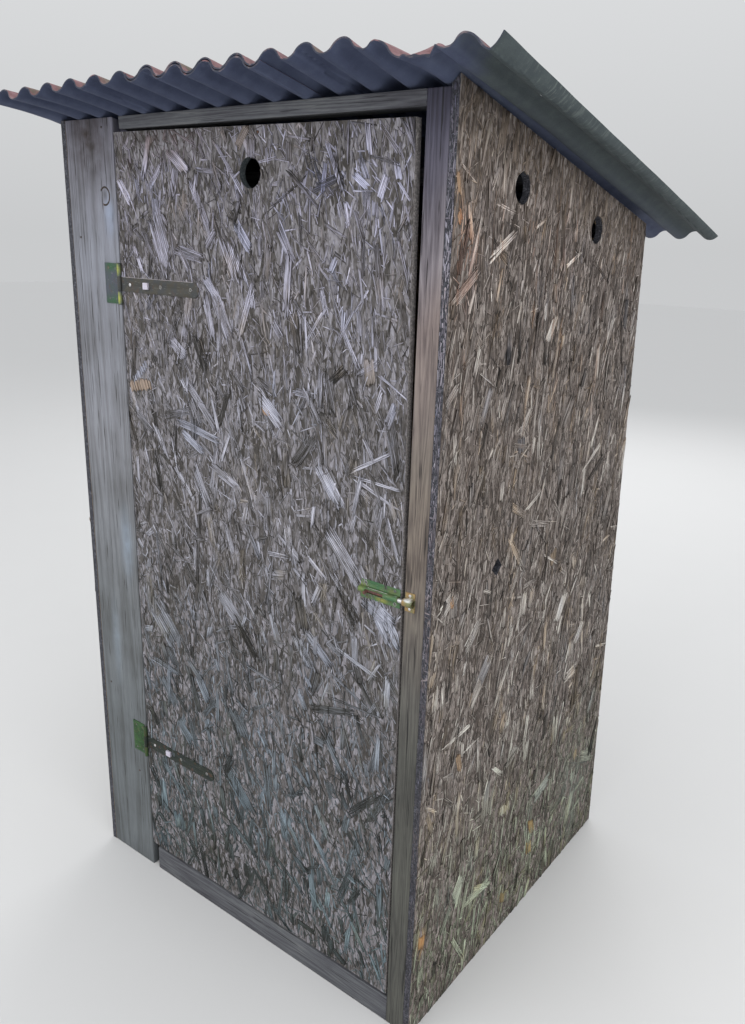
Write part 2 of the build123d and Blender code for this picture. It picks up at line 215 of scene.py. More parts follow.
# Shader helpers
class Value:
    """A shader socket that takes part in plain arithmetic."""

    def __init__(self, finish, socket):
        self.finish = finish
        self.socket = socket

    def combine(self, operation, first, second=0.0):
        values = {0: first, 1: second, 2: 0.0}
        return self.finish.node("ShaderNodeMath", {"operation": operation}, values, 0)

    def __add__(self, other):
        return self.combine("ADD", self, other)

    def __sub__(self, other):
        return self.combine("SUBTRACT", self, other)

    def __mul__(self, other):
        return self.combine("MULTIPLY", self, other)

    def __truediv__(self, other):
        return self.combine("DIVIDE", self, other)

    def __rsub__(self, other):
        return self.combine("SUBTRACT", other, self)

    __radd__ = __add__
    __rmul__ = __mul__

    def above(self, edge, soft):
        """0 below edge, 1 above it, with a soft step in between."""
        settings = {"interpolation_type": "SMOOTHSTEP"}
        values = {0: self, 1: edge - soft, 2: edge + soft}
        return self.finish.node("ShaderNodeMapRange", settings, values, 0)

    def lowest(self, other):
        return self.combine("MINIMUM", self, other)

    def highest(self, other):
        return self.combine("MAXIMUM", self, other)

    def size(self):
        return self.combine("ABSOLUTE", self)


class Finish:
    """One procedural material and short calls for its nodes."""

    def __init__(self, name):
        self.material = bpy.data.materials.new(name)
        self.material.use_nodes = True
        self.tree = self.material.node_tree
        self.shader = self.tree.nodes["Principled BSDF"]
        self.place = self.node("ShaderNodeTexCoord", {}, {}, "Object")
        self.facing = self.node("ShaderNodeTexCoord", {}, {}, "Normal")

    def node(self, kind, settings, values, output):
        """Adds a node, sets it, fills its sockets and returns one of its outputs."""
        made = self.tree.nodes.new(kind)
        for key, value in settings.items():
            if key == "stops":
                self.set_stops(made.color_ramp, value)
            else:
                setattr(made, key, value)
        for key, value in values.items():
            self.fill(made.inputs[key], value)
        return Value(self, made.outputs[output])

    def fill(self, socket, value):
        """Links a value to a socket, or sets the socket to a number or colour."""
        if isinstance(value, Value):
            self.tree.links.new(value.socket, socket)
        elif isinstance(value, (tuple, list)) and len(socket.default_value) == 4:
            socket.default_value = (*value[:3], 1.0)
        else:
            socket.default_value = value

    def set_stops(self, ramp, stops):
        """Places the stops of a colour ramp."""
        while len(ramp.elements) < len(stops):
            ramp.elements.new(0.5)
        for element, (at, colour) in zip(ramp.elements, stops):
            element.position = at
            element.color = (*colour, 1.0)

    def ramp(self, factor, *stops):
        return self.node("ShaderNodeValToRGB", {"stops": stops}, {0: factor}, 0)

    def mix(self, factor, first, second, blend="MIX"):
        settings = {"data_type": "RGBA", "blend_type": blend}
        return self.node("ShaderNodeMix", settings, {0: factor, 6: first, 7: second}, 2)

    def vector(self, operation, first, second=(0, 0, 0), output=0):
        settings = {"operation": operation}
        return self.node("ShaderNodeVectorMath", settings, {0: first, 1: second}, output)

    def stretched(self, vector, *scale):
        return self.vector("MULTIPLY", vector, scale)

    def noise(self, vector, scale=1.0, detail=3.0, rough=0.5, warp=0.0):
        values = {
            "Vector": vector, "Scale": scale, "Detail": detail, "Roughness": rough, "Distortion": warp,
        }
        return self.node("ShaderNodeTexNoise", {}, values, 0)

    def streaks(self, *scale, **settings):
        """Noise that is stretched along the axes of the frame."""
        return self.noise(self.stretched(self.place, *scale), **settings)

    def cells(self, vector):
        """A colour of its own for each cell."""
        values = {"Vector": vector, "Scale": 1.0, "Randomness": 1.0}
        return self.node("ShaderNodeTexVoronoi", {"feature": "F1"}, values, 1)

    def parts_of(self, vector):
        """The three numbers of a vector or attribute."""
        return [self.node("ShaderNodeSeparateXYZ", {}, {0: vector}, k) for k in range(3)]

    def attribute(self, name):
        return self.node("ShaderNodeAttribute", {"attribute_name": name}, {}, "Color")

    def near(self, spot, reach):
        """1 at a spot in the frame, falling to 0 at its reach along each axis."""
        shifted = self.vector("SUBTRACT", self.place, spot)
        scaled = self.stretched(shifted, *[1 / r for r in reach])
        return 1 - self.vector("LENGTH", scaled, output=1).above(0.5, 0.5)

    def done(self, colour, rough, height=None, relief=MM, metal=0.0):
        """Wires the shader: colour, roughness, metal and a bump of the given relief in metres."""
        self.fill(self.shader.inputs["Base Color"], colour)
        self.fill(self.shader.inputs["Roughness"], rough)
        self.fill(self.shader.inputs["Metallic"], metal)
        if height is not None:
            values = {"Height": height, "Distance": relief, "Strength": 1.0}
            bump = self.node("ShaderNodeBump", {}, values, 0)
            self.fill(self.shader.inputs["Normal"], bump)
        return self.material


def tone(red, green, blue):
    """A colour picked on screen, 0 to 255, as the linear colour that the shaders take."""
    return tuple(((c / 255 + 0.055) / 1.055) ** 2.4 if c > 10 else c / 3294.6 for c in (red, green, blue))


def tone_stops(*rows):
    """Stops of a colour ramp, from rows of a place on the ramp and a colour picked on screen."""
    return tuple((at, tone(*shade)) for at, *shade in rows)


# Chipboard flakes
LENGTH_SPREAD = 0.45
WIDTH_SPREAD = 0.5
SHORTEST_FLAKE = 8 * MM
SHORTEST_AT_HOLE = 5 * MM
NARROWEST_FLAKE = 1.1 * MM
WIDEST_SHARE = 0.55
STRAND = 3.3 * MM
STRAND_LIMITS = (2, 8)
STRAND_SLANT = 0.7
STRAND_SLIP = 0.035
STRAND_LENGTHS = (0.72, 1.0)
STRAND_WIDTHS = (0.8, 1.15)
END_SLANT = 0.9
FLAKE_BOW = 0.02
UNEVEN_LIFT = 0.12 * MM
UNEVEN_TONE = 0.07
SUNK_BY = 0.6 * MM
LOWEST_TOP = 0.1 * MM
EDGE_MARGIN = 0.5 * MM
RAGGED_EDGE = 1.2 * MM


class Face:
    """One flat face of a chipboard sheet, with its own axes, outline and holes."""

    def __init__(self, node, across, up):
        self.node = node
        self.across = np.array(across, float)
        self.up = np.array(up, float)
        self.out = np.cross(self.across, self.up)
        mesh = frame["nodes"][node].data
        points = np.array([v.co for v in mesh.vertices], float)
        away = points @ self.out
        self.level = away.max()
        flat = points[away > self.level - 0.1 * MM]
        self.outline = hull(np.stack([flat @ self.across, flat @ self.up], 1))
        self.holes = []

    def place(self, flat, height):
        """Points in the frame from points on the face and their heights above it."""
        lift = (self.level + height)[..., None] * self.out
        return flat[..., :1] * self.across + flat[..., 1:] * self.up + lift

    def on_face(self, point):
        """A point of the frame as a point on the face."""
        point = np.array(point, float)
        return np.array([point @ self.across, point @ self.up])

    def edges(self):
        """Each side of the outline as a corner and its inward normal."""
        for corner, following in zip(self.outline, np.roll(self.outline, -1, axis=0)):
            along = (following - corner) / np.linalg.norm(following - corner)
            yield corner, np.array([-along[1], along[0]])

    def inside(self, flat, margin=0.0):
        """Which points lie inside the outline by more than a margin."""
        keep = np.ones(len(flat), bool)
        for corner, inward in self.edges():
            keep &= (flat - corner) @ inward > margin
        return keep


def hull(points):
    """Convex outline of flat points, anticlockwise."""
    points = sorted(set((round(x, 5), round(y, 5)) for x, y in points))

    def half(ordered):
        chain = []
        for p in ordered:
            while len(chain) > 1:
                (ax, ay), (bx, by) = chain[-2], chain[-1]
                if (bx - ax) * (p[1] - ay) - (by - ay) * (p[0] - ax) > 1e-9:
                    break
                chain.pop()
            chain.append(p)
        return chain[:-1]

    return np.array(half(points) + half(points[::-1]))


def flake_pattern(cuts, split):
    """Models one flake of unit size: a thin block with slanted ends, cut across to bend."""
    bpy.ops.mesh.primitive_cube_add(size=1)
    obj = bpy.context.object
    with editing(obj):
        bpy.ops.transform.translate(value=(0, 0, 0.5))
        for cut in cuts:
            bpy.ops.mesh.select_all(action="SELECT")
            bpy.ops.mesh.bisect(plane_co=(cut, 0, 0), plane_no=(1, 0, 0))
    for vertex in obj.data.vertices:
        if abs(vertex.co.x) > 0.49:
            vertex.co.x += split * vertex.co.y * math.copysign(1, vertex.co.x)
    return obj


def pattern_arrays(obj):
    """Corner points and faces of a modelled flake, after which the object goes."""
    points = np.array([v.co for v in obj.data.vertices], float)
    faces = [list(p.vertices) for p in obj.data.polygons]
    bpy.data.objects.remove(obj)
    return points, faces


def joined_mesh(name, groups):
    """One mesh from groups of (points, faces, grain, span, shades) that repeat a pattern."""
    points, loops, starts, grains, spans, shadings = [], [], [], [], [], []
    base = corner = 0
    for placed, faces, grain, span, shades in groups:
        count, size = placed.shape[:2]
        offsets = base + size * np.arange(count)[:, None]
        flat_faces = np.concatenate([np.array(f) for f in faces])
        lengths = np.array([len(f) for f in faces])
        begin = np.concatenate([[0], np.cumsum(lengths)[:-1]])
        loops.append((offsets + flat_faces[None]).ravel())
        starts.append((corner + len(flat_faces) * np.arange(count)[:, None] + begin).ravel())
        points.append(placed.reshape(-1, 3))
        grains.append(grain[:, flat_faces].reshape(-1, 2))
        spans.append(np.tile(span[flat_faces], (count, 1)))
        shadings.append(np.repeat(shades, size, axis=0))
        base += count * size
        corner += count * len(flat_faces)
    mesh = bpy.data.meshes.new(name)
    all_points, all_loops = np.concatenate(points), np.concatenate(loops)
    all_starts = np.concatenate(starts)
    mesh.vertices.add(len(all_points))
    mesh.vertices.foreach_set("co", all_points.astype(np.float32).ravel())
    mesh.loops.add(len(all_loops))
    mesh.loops.foreach_set("vertex_index", all_loops.astype(np.int32))
    mesh.polygons.add(len(all_starts))
    mesh.polygons.foreach_set("loop_start", all_starts.astype(np.int32))
    mesh.update(calc_edges=True)
    for layer_name, values in (("grain", grains), ("span", spans)):
        layer = mesh.uv_layers.new(name=layer_name)
        layer.data.foreach_set("uv", np.concatenate(values).astype(np.float32).ravel())
    shade = mesh.attributes.new("flake", "FLOAT_COLOR", "POINT")
    rgba = np.concatenate([np.concatenate(shadings), np.ones((len(all_points), 1))], 1)
    shade.data.foreach_set("color", rgba.astype(np.float32).ravel())
    obj = bpy.data.objects.new(name, mesh)
    bpy.context.scene.collection.objects.link(obj)
    return obj


def scatter(face, rng, count, margin):
    """About count points, one in each cell of a jittered grid over the face."""
    low, high = face.outline.min(0), face.outline.max(0)
    width, height = high - low
    cell = math.sqrt(width * height / count)
    columns, rows = math.ceil(width / cell), math.ceil(height / cell)
    grid = np.stack(np.meshgrid(np.arange(columns), np.arange(rows)), -1).reshape(-1, 2)
    flat = low + (grid + rng.random(grid.shape)) * [width / columns, height / rows]
    flat = flat[face.inside(flat, margin)]
    return flat[rng.permutation(len(flat))]


def shorten_at_holes(face, centre, along, length):
    """Cuts flakes back to the rim of each hole, and keeps their longer end."""
    for hole, radius in face.holes:
        to_hole = hole - centre
        reach = (to_hole * along).sum(1)
        aside = np.abs(to_hole[:, 0] * along[:, 1] - to_hole[:, 1] * along[:, 0])
        half = np.sqrt(np.maximum(radius**2 - aside**2, 0))
        before = reach - half + length / 2
        after = length / 2 - reach - half
        hit = (aside < radius) & (before < length) & (after < length)
        kept = np.where(hit, np.maximum(before, after), length)
        shift = np.where(before > after, -(length - kept) / 2, (length - kept) / 2)
        centre = centre + along * np.where(hit, shift, 0)[:, None]
        length = np.maximum(kept, 0)
    return centre, length


def lay(face, pattern, rng, count, spec):
    """Lays copies of one flake pattern over a face and returns its group for the mesh."""
    centre = scatter(face, rng, count, EDGE_MARGIN)
    count = len(centre)
    loose = rng.random(count) < spec["stray"]
    lean = np.where(loose, rng.uniform(-90, 90, count), rng.normal(spec["lean"], spec["fan"], count))
    length = rng.lognormal(math.log(spec["length"]), LENGTH_SPREAD, count)
    length = np.clip(length, SHORTEST_FLAKE, spec["longest"])
    width = rng.lognormal(math.log(spec["width"]), WIDTH_SPREAD, count)
    width = np.clip(width, NARROWEST_FLAKE, spec["widest"])
    width = np.minimum(width, length * WIDEST_SHARE)
    family = np.arange(count)
    if spec.get("splits"):
        centre, lean, length, width, family = frayed(rng, centre, lean, length, width)
    along = heading(lean)
    centre, length = shorten_at_holes(face, centre, along, length)
    keep = length > SHORTEST_AT_HOLE
    kept = (values[keep] for values in (centre, along, length, width, family))
    return shaped(face, pattern, rng, *kept, spec)


def heading(lean):
    """Unit vectors that lean from upright by an angle in degrees, positive to the right."""
    angle = np.radians(90 - np.asarray(lean))
    return np.stack([np.cos(angle), np.sin(angle)], -1)


def frayed(rng, centre, lean, length, width):
    """Splits each flake into strands side by side, with uneven ends."""
    strands = np.clip(np.round(width / STRAND), *STRAND_LIMITS).astype(int)
    family = np.repeat(np.arange(len(width)), strands)
    first = np.concatenate([[0], np.cumsum(strands)[:-1]])
    order = np.arange(len(family)) - first[family]
    offset = (order + 0.5) / strands[family] - 0.5
    along = heading(lean)[family]
    side = np.stack([-along[:, 1], along[:, 0]], 1)
    slant = rng.uniform(-STRAND_SLANT, STRAND_SLANT, len(width))[family]
    slip = offset * slant * width[family] + rng.normal(0, STRAND_SLIP, len(family)) * length[family]
    centre = centre[family] + side * (offset * width[family])[:, None] + along * slip[:, None]
    lean = lean[family] + rng.normal(0, 1.0, len(family))
    length = length[family] * rng.uniform(*STRAND_LENGTHS, len(family))
    width = width[family] / strands[family] * rng.uniform(*STRAND_WIDTHS, len(family))
    return centre, lean, length, width, family


def shaped(face, pattern, rng, centre, along, length, width, family, spec):
    """Shapes and places copies of a pattern; strands of one family share tone and lift."""
    points, faces = pattern
    count = len(centre)
    families = family.max() + 1 if count else 0

    def column(values):
        return np.asarray(values)[:, None]

    side = np.stack([-along[:, 1], along[:, 0]], 1)
    x, y, z = (points[:, k][None] for k in range(3))
    taper = column(rng.uniform(0, spec["taper"], count) * rng.choice([-1, 1], count))
    slant = column(rng.uniform(-END_SLANT, END_SLANT, count))
    bow = column(rng.normal(0, FLAKE_BOW, families)[family])
    run = x * column(length) + slant * y * column(width)
    drift = y * column(width) * (1 - taper * (x + 0.5 * np.sign(taper)))
    drift = drift + bow * (x**2 - 0.08) * column(length)
    flat = column(centre[:, 0]) + run * column(along[:, 0]) + drift * column(side[:, 0])
    rise = column(centre[:, 1]) + run * column(along[:, 1]) + drift * column(side[:, 1])
    low, high = spec["lift"]
    level = rng.uniform(0, 1, families)[family]
    height = column(low + (high - low) * level + rng.normal(0, UNEVEN_LIFT, count))
    tilt = column(rng.normal(0, spec["tilt"], families)[family])
    twist = column(rng.normal(0, spec["tilt"] * 0.8, count))
    curl = spec.get("curl", 0.0) * rng.random(families) ** 6 * rng.choice([-1, 1], families)
    curl = column(curl[family])
    lifted = tilt * x + twist * y + np.abs(curl) * np.maximum(x * np.sign(curl), 0) ** 2 * 4
    sunk = np.where(np.abs(curl) > MM, lifted * 0.9, 0) - SUNK_BY
    top = np.where(z > 0.5, np.maximum(height, LOWEST_TOP) + lifted, sunk)
    grid = np.stack([flat, rise], -1)
    jitter = rng.uniform(0, RAGGED_EDGE, count)
    for corner, inward in face.edges():
        depth = (grid - corner) @ inward - column(jitter)
        grid = grid - np.minimum(depth, 0)[..., None] * inward
    placed = face.place(grid, np.broadcast_to(top, grid.shape[:2]))
    offset = rng.random((count, 2)) * 7
    grain = np.stack([x * column(length), y * column(width)], -1) + offset[:, None]
    span = points[:, :2] + 0.5
    base_tone = rng.uniform(*spec["tone"], families)[family]
    shade = np.clip(base_tone + rng.normal(0, UNEVEN_TONE, count), 0, 1.3)
    hue = np.broadcast_to(spec.get("hue", rng.random(families)), families)[family]
    return placed, faces, grain, span, np.stack([shade, hue, level], 1)


def lay_marks(face, pattern, rng, rows):
    """Lays single frayed flakes, each from its two ends, width, tone and hue."""
    rows = np.array(rows, float)
    first, last, width = rows[:, :2] * MM, rows[:, 2:4] * MM, rows[:, 4] * MM
    shade, hue = rows[:, 5], rows[:, 6]
    run = last - first
    lean = np.degrees(np.arctan2(run[:, 0], run[:, 1]))
    length = np.linalg.norm(run, axis=1)
    centre, lean, length, width, family = frayed(rng, (first + last) / 2, lean, length, width)
    spec = {"lift": (1.2 * MM, 2.1 * MM), "tilt": 0.4 * MM, "taper": 0.5, "tone": (shade, shade), "hue": hue}
    return shaped(face, pattern, rng, centre, heading(lean), length, width, family, spec)


def in_band(group, low, high):
    """The copies of a group whose middle lies between two heights."""
    placed, faces, grain, span, shades = group
    middle = placed[:, :, 2].mean(1)
    keep = (middle >= low) & (middle < high)
    return placed[keep], faces, grain[keep], span, shades[keep]


def add_face_flakes(name, face, seed, density, specs, finish, body, slot, marks=(), bands=1):
    """Covers one face of a sheet with flakes, as joined pieces in bands of equal height."""
    rng = np.random.default_rng(seed)
    sliver = pattern_arrays(flake_pattern([], 0.05))
    flake = pattern_arrays(flake_pattern([-0.2, 0.2], 0.12))
    area = abs(np.prod(face.outline.max(0) - face.outline.min(0)))
    groups = [lay(face, sliver, rng, int(spec["count"] * density * area), spec) for spec in specs]
    if marks:
        groups.append(lay_marks(face, flake, rng, marks))
    limits = np.linspace(0, ROOF_FRONT_HEIGHT, bands + 1)
    limits[-1] += 1
    for number in range(bands):
        part = [in_band(group, limits[number] - (number == 0), limits[number + 1]) for group in groups]
        obj = joined_mesh(f"{name}_{number + 1}" if bands > 1 else name, part)
        attach(obj, finish, body, slot)


def flake_specs(lean, fan, stray, slim=1.0):
    """The kinds of flakes on a weathered face: counts a square metre, sizes and leans."""
    common = {"lean": lean, "fan": fan, "stray": stray}
    thin, long = MM / slim, MM * slim
    slivers = {
        "count": 1500, "length": 36 * long, "width": 4.2 * thin, "longest": 100 * long, "widest": 14 * thin,
        "lift": (0.1 * MM, 0.9 * MM), "tilt": 0.35 * MM, "taper": 0.9, "tone": (0.1, 0.72),
    }
    splinters = {
        "count": 2400, "length": 22 * long, "width": 2.0 * thin, "longest": 60 * long, "widest": 5 * thin,
        "lift": (0.4 * MM, 1.3 * MM), "tilt": 0.5 * MM, "taper": 1.0, "tone": (0.18, 0.92),
    }
    frayed_flakes = {
        "count": 280, "length": 70 * MM, "width": 11 * MM, "longest": 150 * MM, "widest": 34 * MM,
        "lift": (0.5 * MM, 1.9 * MM), "tilt": 0.7 * MM, "taper": 0.8, "tone": (0.15, 1.0), "curl": 5 * MM,
        "splits": True,
    }
    hairs = {
        "count": 200, "length": 30 * MM, "width": 1.2 * MM, "longest": 70 * MM, "widest": 2 * MM,
        "lift": (1.4 * MM, 2.2 * MM), "tilt": 0.8 * MM, "taper": 0.9, "tone": (0.3, 1.0), "stray": 0.6,
    }
    return [{**common, **kind} for kind in (slivers, splinters, frayed_flakes, hairs)]


def edge_specs():
    """Short upright slivers on the cut edge of a sheet."""
    common = {
        "longest": 34 * MM, "widest": 4 * MM, "tilt": 0.3 * MM, "taper": 0.9, "lean": 0, "fan": 7,
        "stray": 0.12, "tone": (0.0, 1.0),
    }
    sizes = ((9000, 16, 2.2, 0.7), (6000, 9, 1.5, 1.1))
    return [
        {**common, "count": count, "length": length * MM, "width": width * MM, "lift": (0.1 * MM, lift * MM)}
        for count, length, width, lift in sizes
    ]


def faded(f, colour, fade):
    """Tints a colour by height, from stops at shares of FADE_HEIGHT."""
    if not fade:
        return colour
    height = f.parts_of(f.place)[2] / FADE_HEIGHT
    wander = (f.streaks(9, 9, 3) - 0.5) * 0.1
    return f.mix(1.0, colour, f.ramp(height + wander, *fade), "MULTIPLY")


def stained(f, colour, stains):
    """Multiplies or mixes stains into a colour, each at its spot."""
    for spot, reach, stain, strength, blend in stains:
        edge = f.noise(f.place, 26)
        mask = f.near(spot, reach) * (edge * 1.4 + 0.1)
        colour = f.mix((mask * strength).lowest(1.0), colour, stain, blend)
    return colour


def roof_shade_band(f, colour, fibre):
    """Painted shade: smooths a wall close under the sloping roof and darkens it to a plain brown."""
    _, y, z = f.parts_of(f.place)
    depth = ROOF_FRONT_HEIGHT - (y - FRONT) * math.tan(ROOF_SLOPE) - z
    edge = f.streaks(30, 30, 5)
    plain = f.ramp(fibre, *ROOF_SHADE_STOPS)
    return f.mix((1 - (depth + (edge - 0.5) * 0.16).above(0.11, 0.09)) * 0.75, colour, plain)


def flake_finish(name, stops, stains, warm_tone, cool_tone, streak_depth=0.70, fade=(), streaks_and_roof_shade=False):
    """Weathered wood flakes: a tone for each flake, fibres along it, painted shade at their edges, in the
    gaps between them and on the lower ones, stains.
    """
    f = Finish(name)
    shade, hue, level = f.parts_of(f.attribute("flake"))
    grain = f.node("ShaderNodeUVMap", {"uv_map": "grain"}, {}, 0)
    end, side, _ = f.parts_of(f.node("ShaderNodeUVMap", {"uv_map": "span"}, {}, 0))
    fibre = f.noise(f.stretched(grain, 20, 420, 1), rough=0.75)
    split = f.noise(f.stretched(grain, 8, 150, 1), detail=2)
    blotch = f.noise(f.place, 8)
    patch = f.streaks(15, 15, 6, rough=0.6)
    cloud = f.noise(f.place, 2.6, detail=2)
    # Painted shade: each flake darkens towards its sides and ends, for the shade its neighbours cast on it.
    side_edge_shade = ((side - 0.5).size() * 2).above(0.82, 0.18) * 0.25
    end_edge_shade = ((end - 0.5).size() * 2).above(0.96, 0.05) * 0.12
    edge_shade = side_edge_shade + end_edge_shade
    # Painted shade: thin dark lines stand for the shaded gaps between flakes.
    wander = f.streaks(26, 26, 3.6, rough=0.6, warp=0.3)
    gap_shade = 1 - (wander - 0.5).size().above(0.014, 0.012)
    gap_shade = gap_shade * f.noise(f.place, 7, detail=2).above(0.52, 0.05)
    # Raised flakes are lighter and lower ones darker: painted shade from the flakes above.
    light = shade * 0.56 + level * 0.12 + (fibre - 0.5) * streak_depth * 2 + (split - 0.5) * 0.6
    light = light + (blotch - 0.5) * 0.5 + (cloud - 0.5) * 0.35 + 0.17 - edge_shade - gap_shade * 0.40
    colour = f.ramp(light, *stops)
    warm = ((patch - 0.5) * 2.2 + hue * 0.35).above(0.48, 0.28) * 0.62
    colour = f.mix(warm, colour, f.mix(light, tone(44, 36, 28), warm_tone))
    rusty = f.mix(light, tone(84, 56, 34), tone(206, 156, 106))
    colour = f.mix(hue.above(3.2, 1.4) * (split * 1.5).lowest(1.0), colour, rusty)
    cool = ((0.5 - patch) * 2.0 + (1 - hue) * 0.3).above(0.5, 0.25) * 0.5
    colour = f.mix(cool, colour, f.mix(light, tone(48, 50, 58), cool_tone))
    colour = stained(f, faded(f, colour, fade), stains)
    if streaks_and_roof_shade:
        streak = f.streaks(46, 46, 2.2, rough=0.65)
        high = f.parts_of(f.place)[2].above(1.55, 0.5)
        colour = f.mix(streak.above(0.60, 0.07) * high * 0.6, colour, tone(206, 158, 122), "MULTIPLY")
        colour = f.mix((1 - streak).above(0.62, 0.06) * high * 0.5, colour, tone(176, 166, 178), "MULTIPLY")
        # Painted shade close under the roof's edge.
        colour = roof_shade_band(f, colour, fibre)
    rough = 0.95 - fibre * 0.2
    return f.done(colour, rough, fibre * 0.6 + split * 0.4, WOOD_RELIEF)


def rotated(finish, vector, degrees):
    """A flat vector turned about Z."""
    settings = {"rotation_type": "Z_AXIS"}
    return finish.node("ShaderNodeVectorRotate", settings, {0: vector, 3: math.radians(degrees)}, 0)


def sheet_finish(name, axis, outward, stops, inner_stops, cut_stops, vents=()):
    """The sheet under its flakes: strands, a dark layered edge, and a fresher inner face."""
    f = Finish(name)
    x, y, z = f.parts_of(f.place)
    flat = f.node("ShaderNodeCombineXYZ", {}, {0: x + y, 1: z, 2: 0.0}, 0)
    strands = []
    for degrees, wide, long in ((-9, 150, 24), (14, 110, 18)):
        turned = f.stretched(rotated(f, flat, degrees), wide, long, 1)
        strands.append(f.cells(turned))
    pick = f.noise(flat, 38, detail=2).above(0.5, 0.06)
    strand_tone = f.parts_of(f.mix(pick, *strands))[0]
    fibre = f.noise(f.stretched(rotated(f, flat, -8), 760, 34, 1), rough=0.7)
    light = strand_tone * 0.42 + (fibre - 0.5) * 0.8 + 0.16
    facing = f.parts_of(f.facing)[axis] * outward
    colour = f.mix(facing.above(0.0, 0.2), f.ramp(light, *inner_stops), f.ramp(light, *stops))
    layers = f.noise(f.place, 210, rough=0.7)
    edge = f.ramp(layers, *cut_stops)
    for spot in vents:
        edge = f.mix(f.near(spot, (0.1, 0.1, 0.1)).above(0.3, 0.05), edge, f.ramp(layers, *VENT_STOPS))
    colour = f.mix(facing.size().above(0.5, 0.1), edge, colour)
    return f.done(colour, 0.95 - fibre * 0.1, fibre + layers * 0.5, SHEET_RELIEF)


def timber_finish(name, axis, stops, stains=(), ring_scale=34.0, contrast=1.0, fade=()):
    """Weathered softwood: growth lines, fine fibre and drying cracks along one axis."""
    f = Finish(name)
    along = [1.0, 1.0, 1.0]
    along[axis] = 0.035

    def grain(scale, **settings):
        return f.streaks(*[scale * share for share in along], **settings)

    bend = grain(9, detail=1)
    rings = grain(ring_scale, detail=1, warp=0.6)
    lines = f.node("ShaderNodeMath", {"operation": "PINGPONG"}, {0: rings * 9 + bend * 2, 1: 0.5}, 0)
    fibre = grain(620, rough=0.7)
    cracks = grain(170, detail=2, rough=0.6).above(0.66, 0.03)
    cloud = f.noise(f.place, 5)
    light = 0.5 + (lines * 2 - 0.5) * 0.22 * contrast
    light = light + (fibre - 0.5) * 0.5 * contrast + (cloud - 0.5) * 0.5
    colour = f.ramp(light - cracks * 0.35, *stops)
    colour = stained(f, faded(f, colour, fade), stains)
    height = lines * 0.5 + fibre * 0.3 - cracks
    return f.done(colour, 0.86 - fibre * 0.12, height, WOOD_RELIEF)


def roof_front_edge(x):
    """Y of the roof's front edge before it is bent, at a distance across."""
    return FRONT - math.cos(ROOF_SLOPE) * (ROOF_FRONT_LAP - x * math.sin(ROOF_SKEW))


def roof_finish():
    """Bitumen fibre sheet: faded red above, slate below, greener and paler where the rain reaches."""
    f = Finish("roof_fibre")
    x, y, _ = f.parts_of(f.place)
    _, ahead, up = f.parts_of(f.facing)
    grit = f.noise(f.place, 900, detail=2)
    mottle = f.noise(f.place, 34, detail=4, rough=0.65)
    cloud = f.noise(f.place, 4)
    run = f.streaks(60, 3, 3)
    red = f.ramp(mottle * 0.6 + run * 0.35 + grit * 0.12, *ROOF_TOP_STOPS)
    moss = f.noise(f.place, 16, detail=4).above(0.62, 0.05) * cloud.above(0.5, 0.1)
    red = f.mix(moss * 0.75, red, tone(88, 92, 74))
    under = f.ramp(mottle * 0.55 + grit * 0.25 + run * 0.2, *ROOF_UNDER_STOPS)
    green = f.ramp(mottle * 0.5 + grit * 0.5, *ROOF_FLANK_STOPS)
    ahead_of_wall = 1 - y.above(FRONT - 0.05, 0.06)
    outer = x + (mottle - 0.5) * 0.05 - ahead_of_wall * 0.075
    under = f.mix(outer.above(ROOF_GREEN_FROM, 0.05), under, green)
    streaks = f.streaks(30, 150, 30, rough=0.7)
    worn = streaks.above(0.58, 0.06) * outer.above(ROOF_WORN_FROM, 0.03) * 0.4
    under = f.mix(worn, under, tone(108, 116, 112))
    speck = f.noise(f.place, 260, detail=2).above(0.72, 0.02)
    under = f.mix(speck * 0.2, under, tone(120, 128, 130))
    # Painted light: the underside just over the wall is lifted towards a paler slate, against the shade
    # there.
    painted_light_over_wall = y.above(FRONT - 0.05, 0.05) * (1 - y.above(FRONT + 0.04, 0.02))
    painted_light_over_wall = painted_light_over_wall * (1 - outer.above(0.6, 0.05))
    under = f.mix(painted_light_over_wall * 0.35, under, tone(84, 92, 116))
    lip = (1 - (y - roof_front_edge(x)).above(0.012, 0.005)) * x.above(ROOF_LIP_FROM, 0.01)
    red = f.mix(lip * 0.85, red, tone(60, 66, 84))
    colour = f.mix(up.above(0.0, 0.05), under, red)
    cut = ahead.size().above(0.9, 0.02)
    bare = f.mix((mottle * 1.2).above(0.70, 0.08), tone(48, 52, 66), tone(104, 92, 96))
    colour = f.mix(cut, colour, bare)
    return f.done(colour, 0.9 - grit * 0.15, grit * 0.5 + mottle * 0.5, ROOF_RELIEF)


def zinc_finish(name, base, sheen, rust, stains=(), metal=0.45):
    """Dull passivated plate: a base tone with a coloured shimmer, dark stains and rust."""
    f = Finish(name)
    cloud = f.noise(f.place, 45)
    fine = f.noise(f.place, 420)
    scratch = f.streaks(60, 60, 900, detail=2)
    colour = f.mix(cloud.above(0.50, 0.14), base, sheen)
    colour = stained(f, colour, stains)
    colour = f.mix((fine - 0.5).size() * 1.2, colour, tone(34, 34, 32))
    colour = f.mix(f.noise(f.place, 70).above(0.62, 0.05) * rust, colour, tone(98, 62, 40))
    colour = f.mix(scratch.above(0.68, 0.04) * 0.35, colour, tone(170, 172, 168))
    rough = 0.42 + fine * 0.3
    height = fine + scratch * 0.4
    shine = metal - fine.above(0.6, 0.06) * metal * 0.7
    return f.done(colour, rough, height, ZINC_RELIEF, shine)


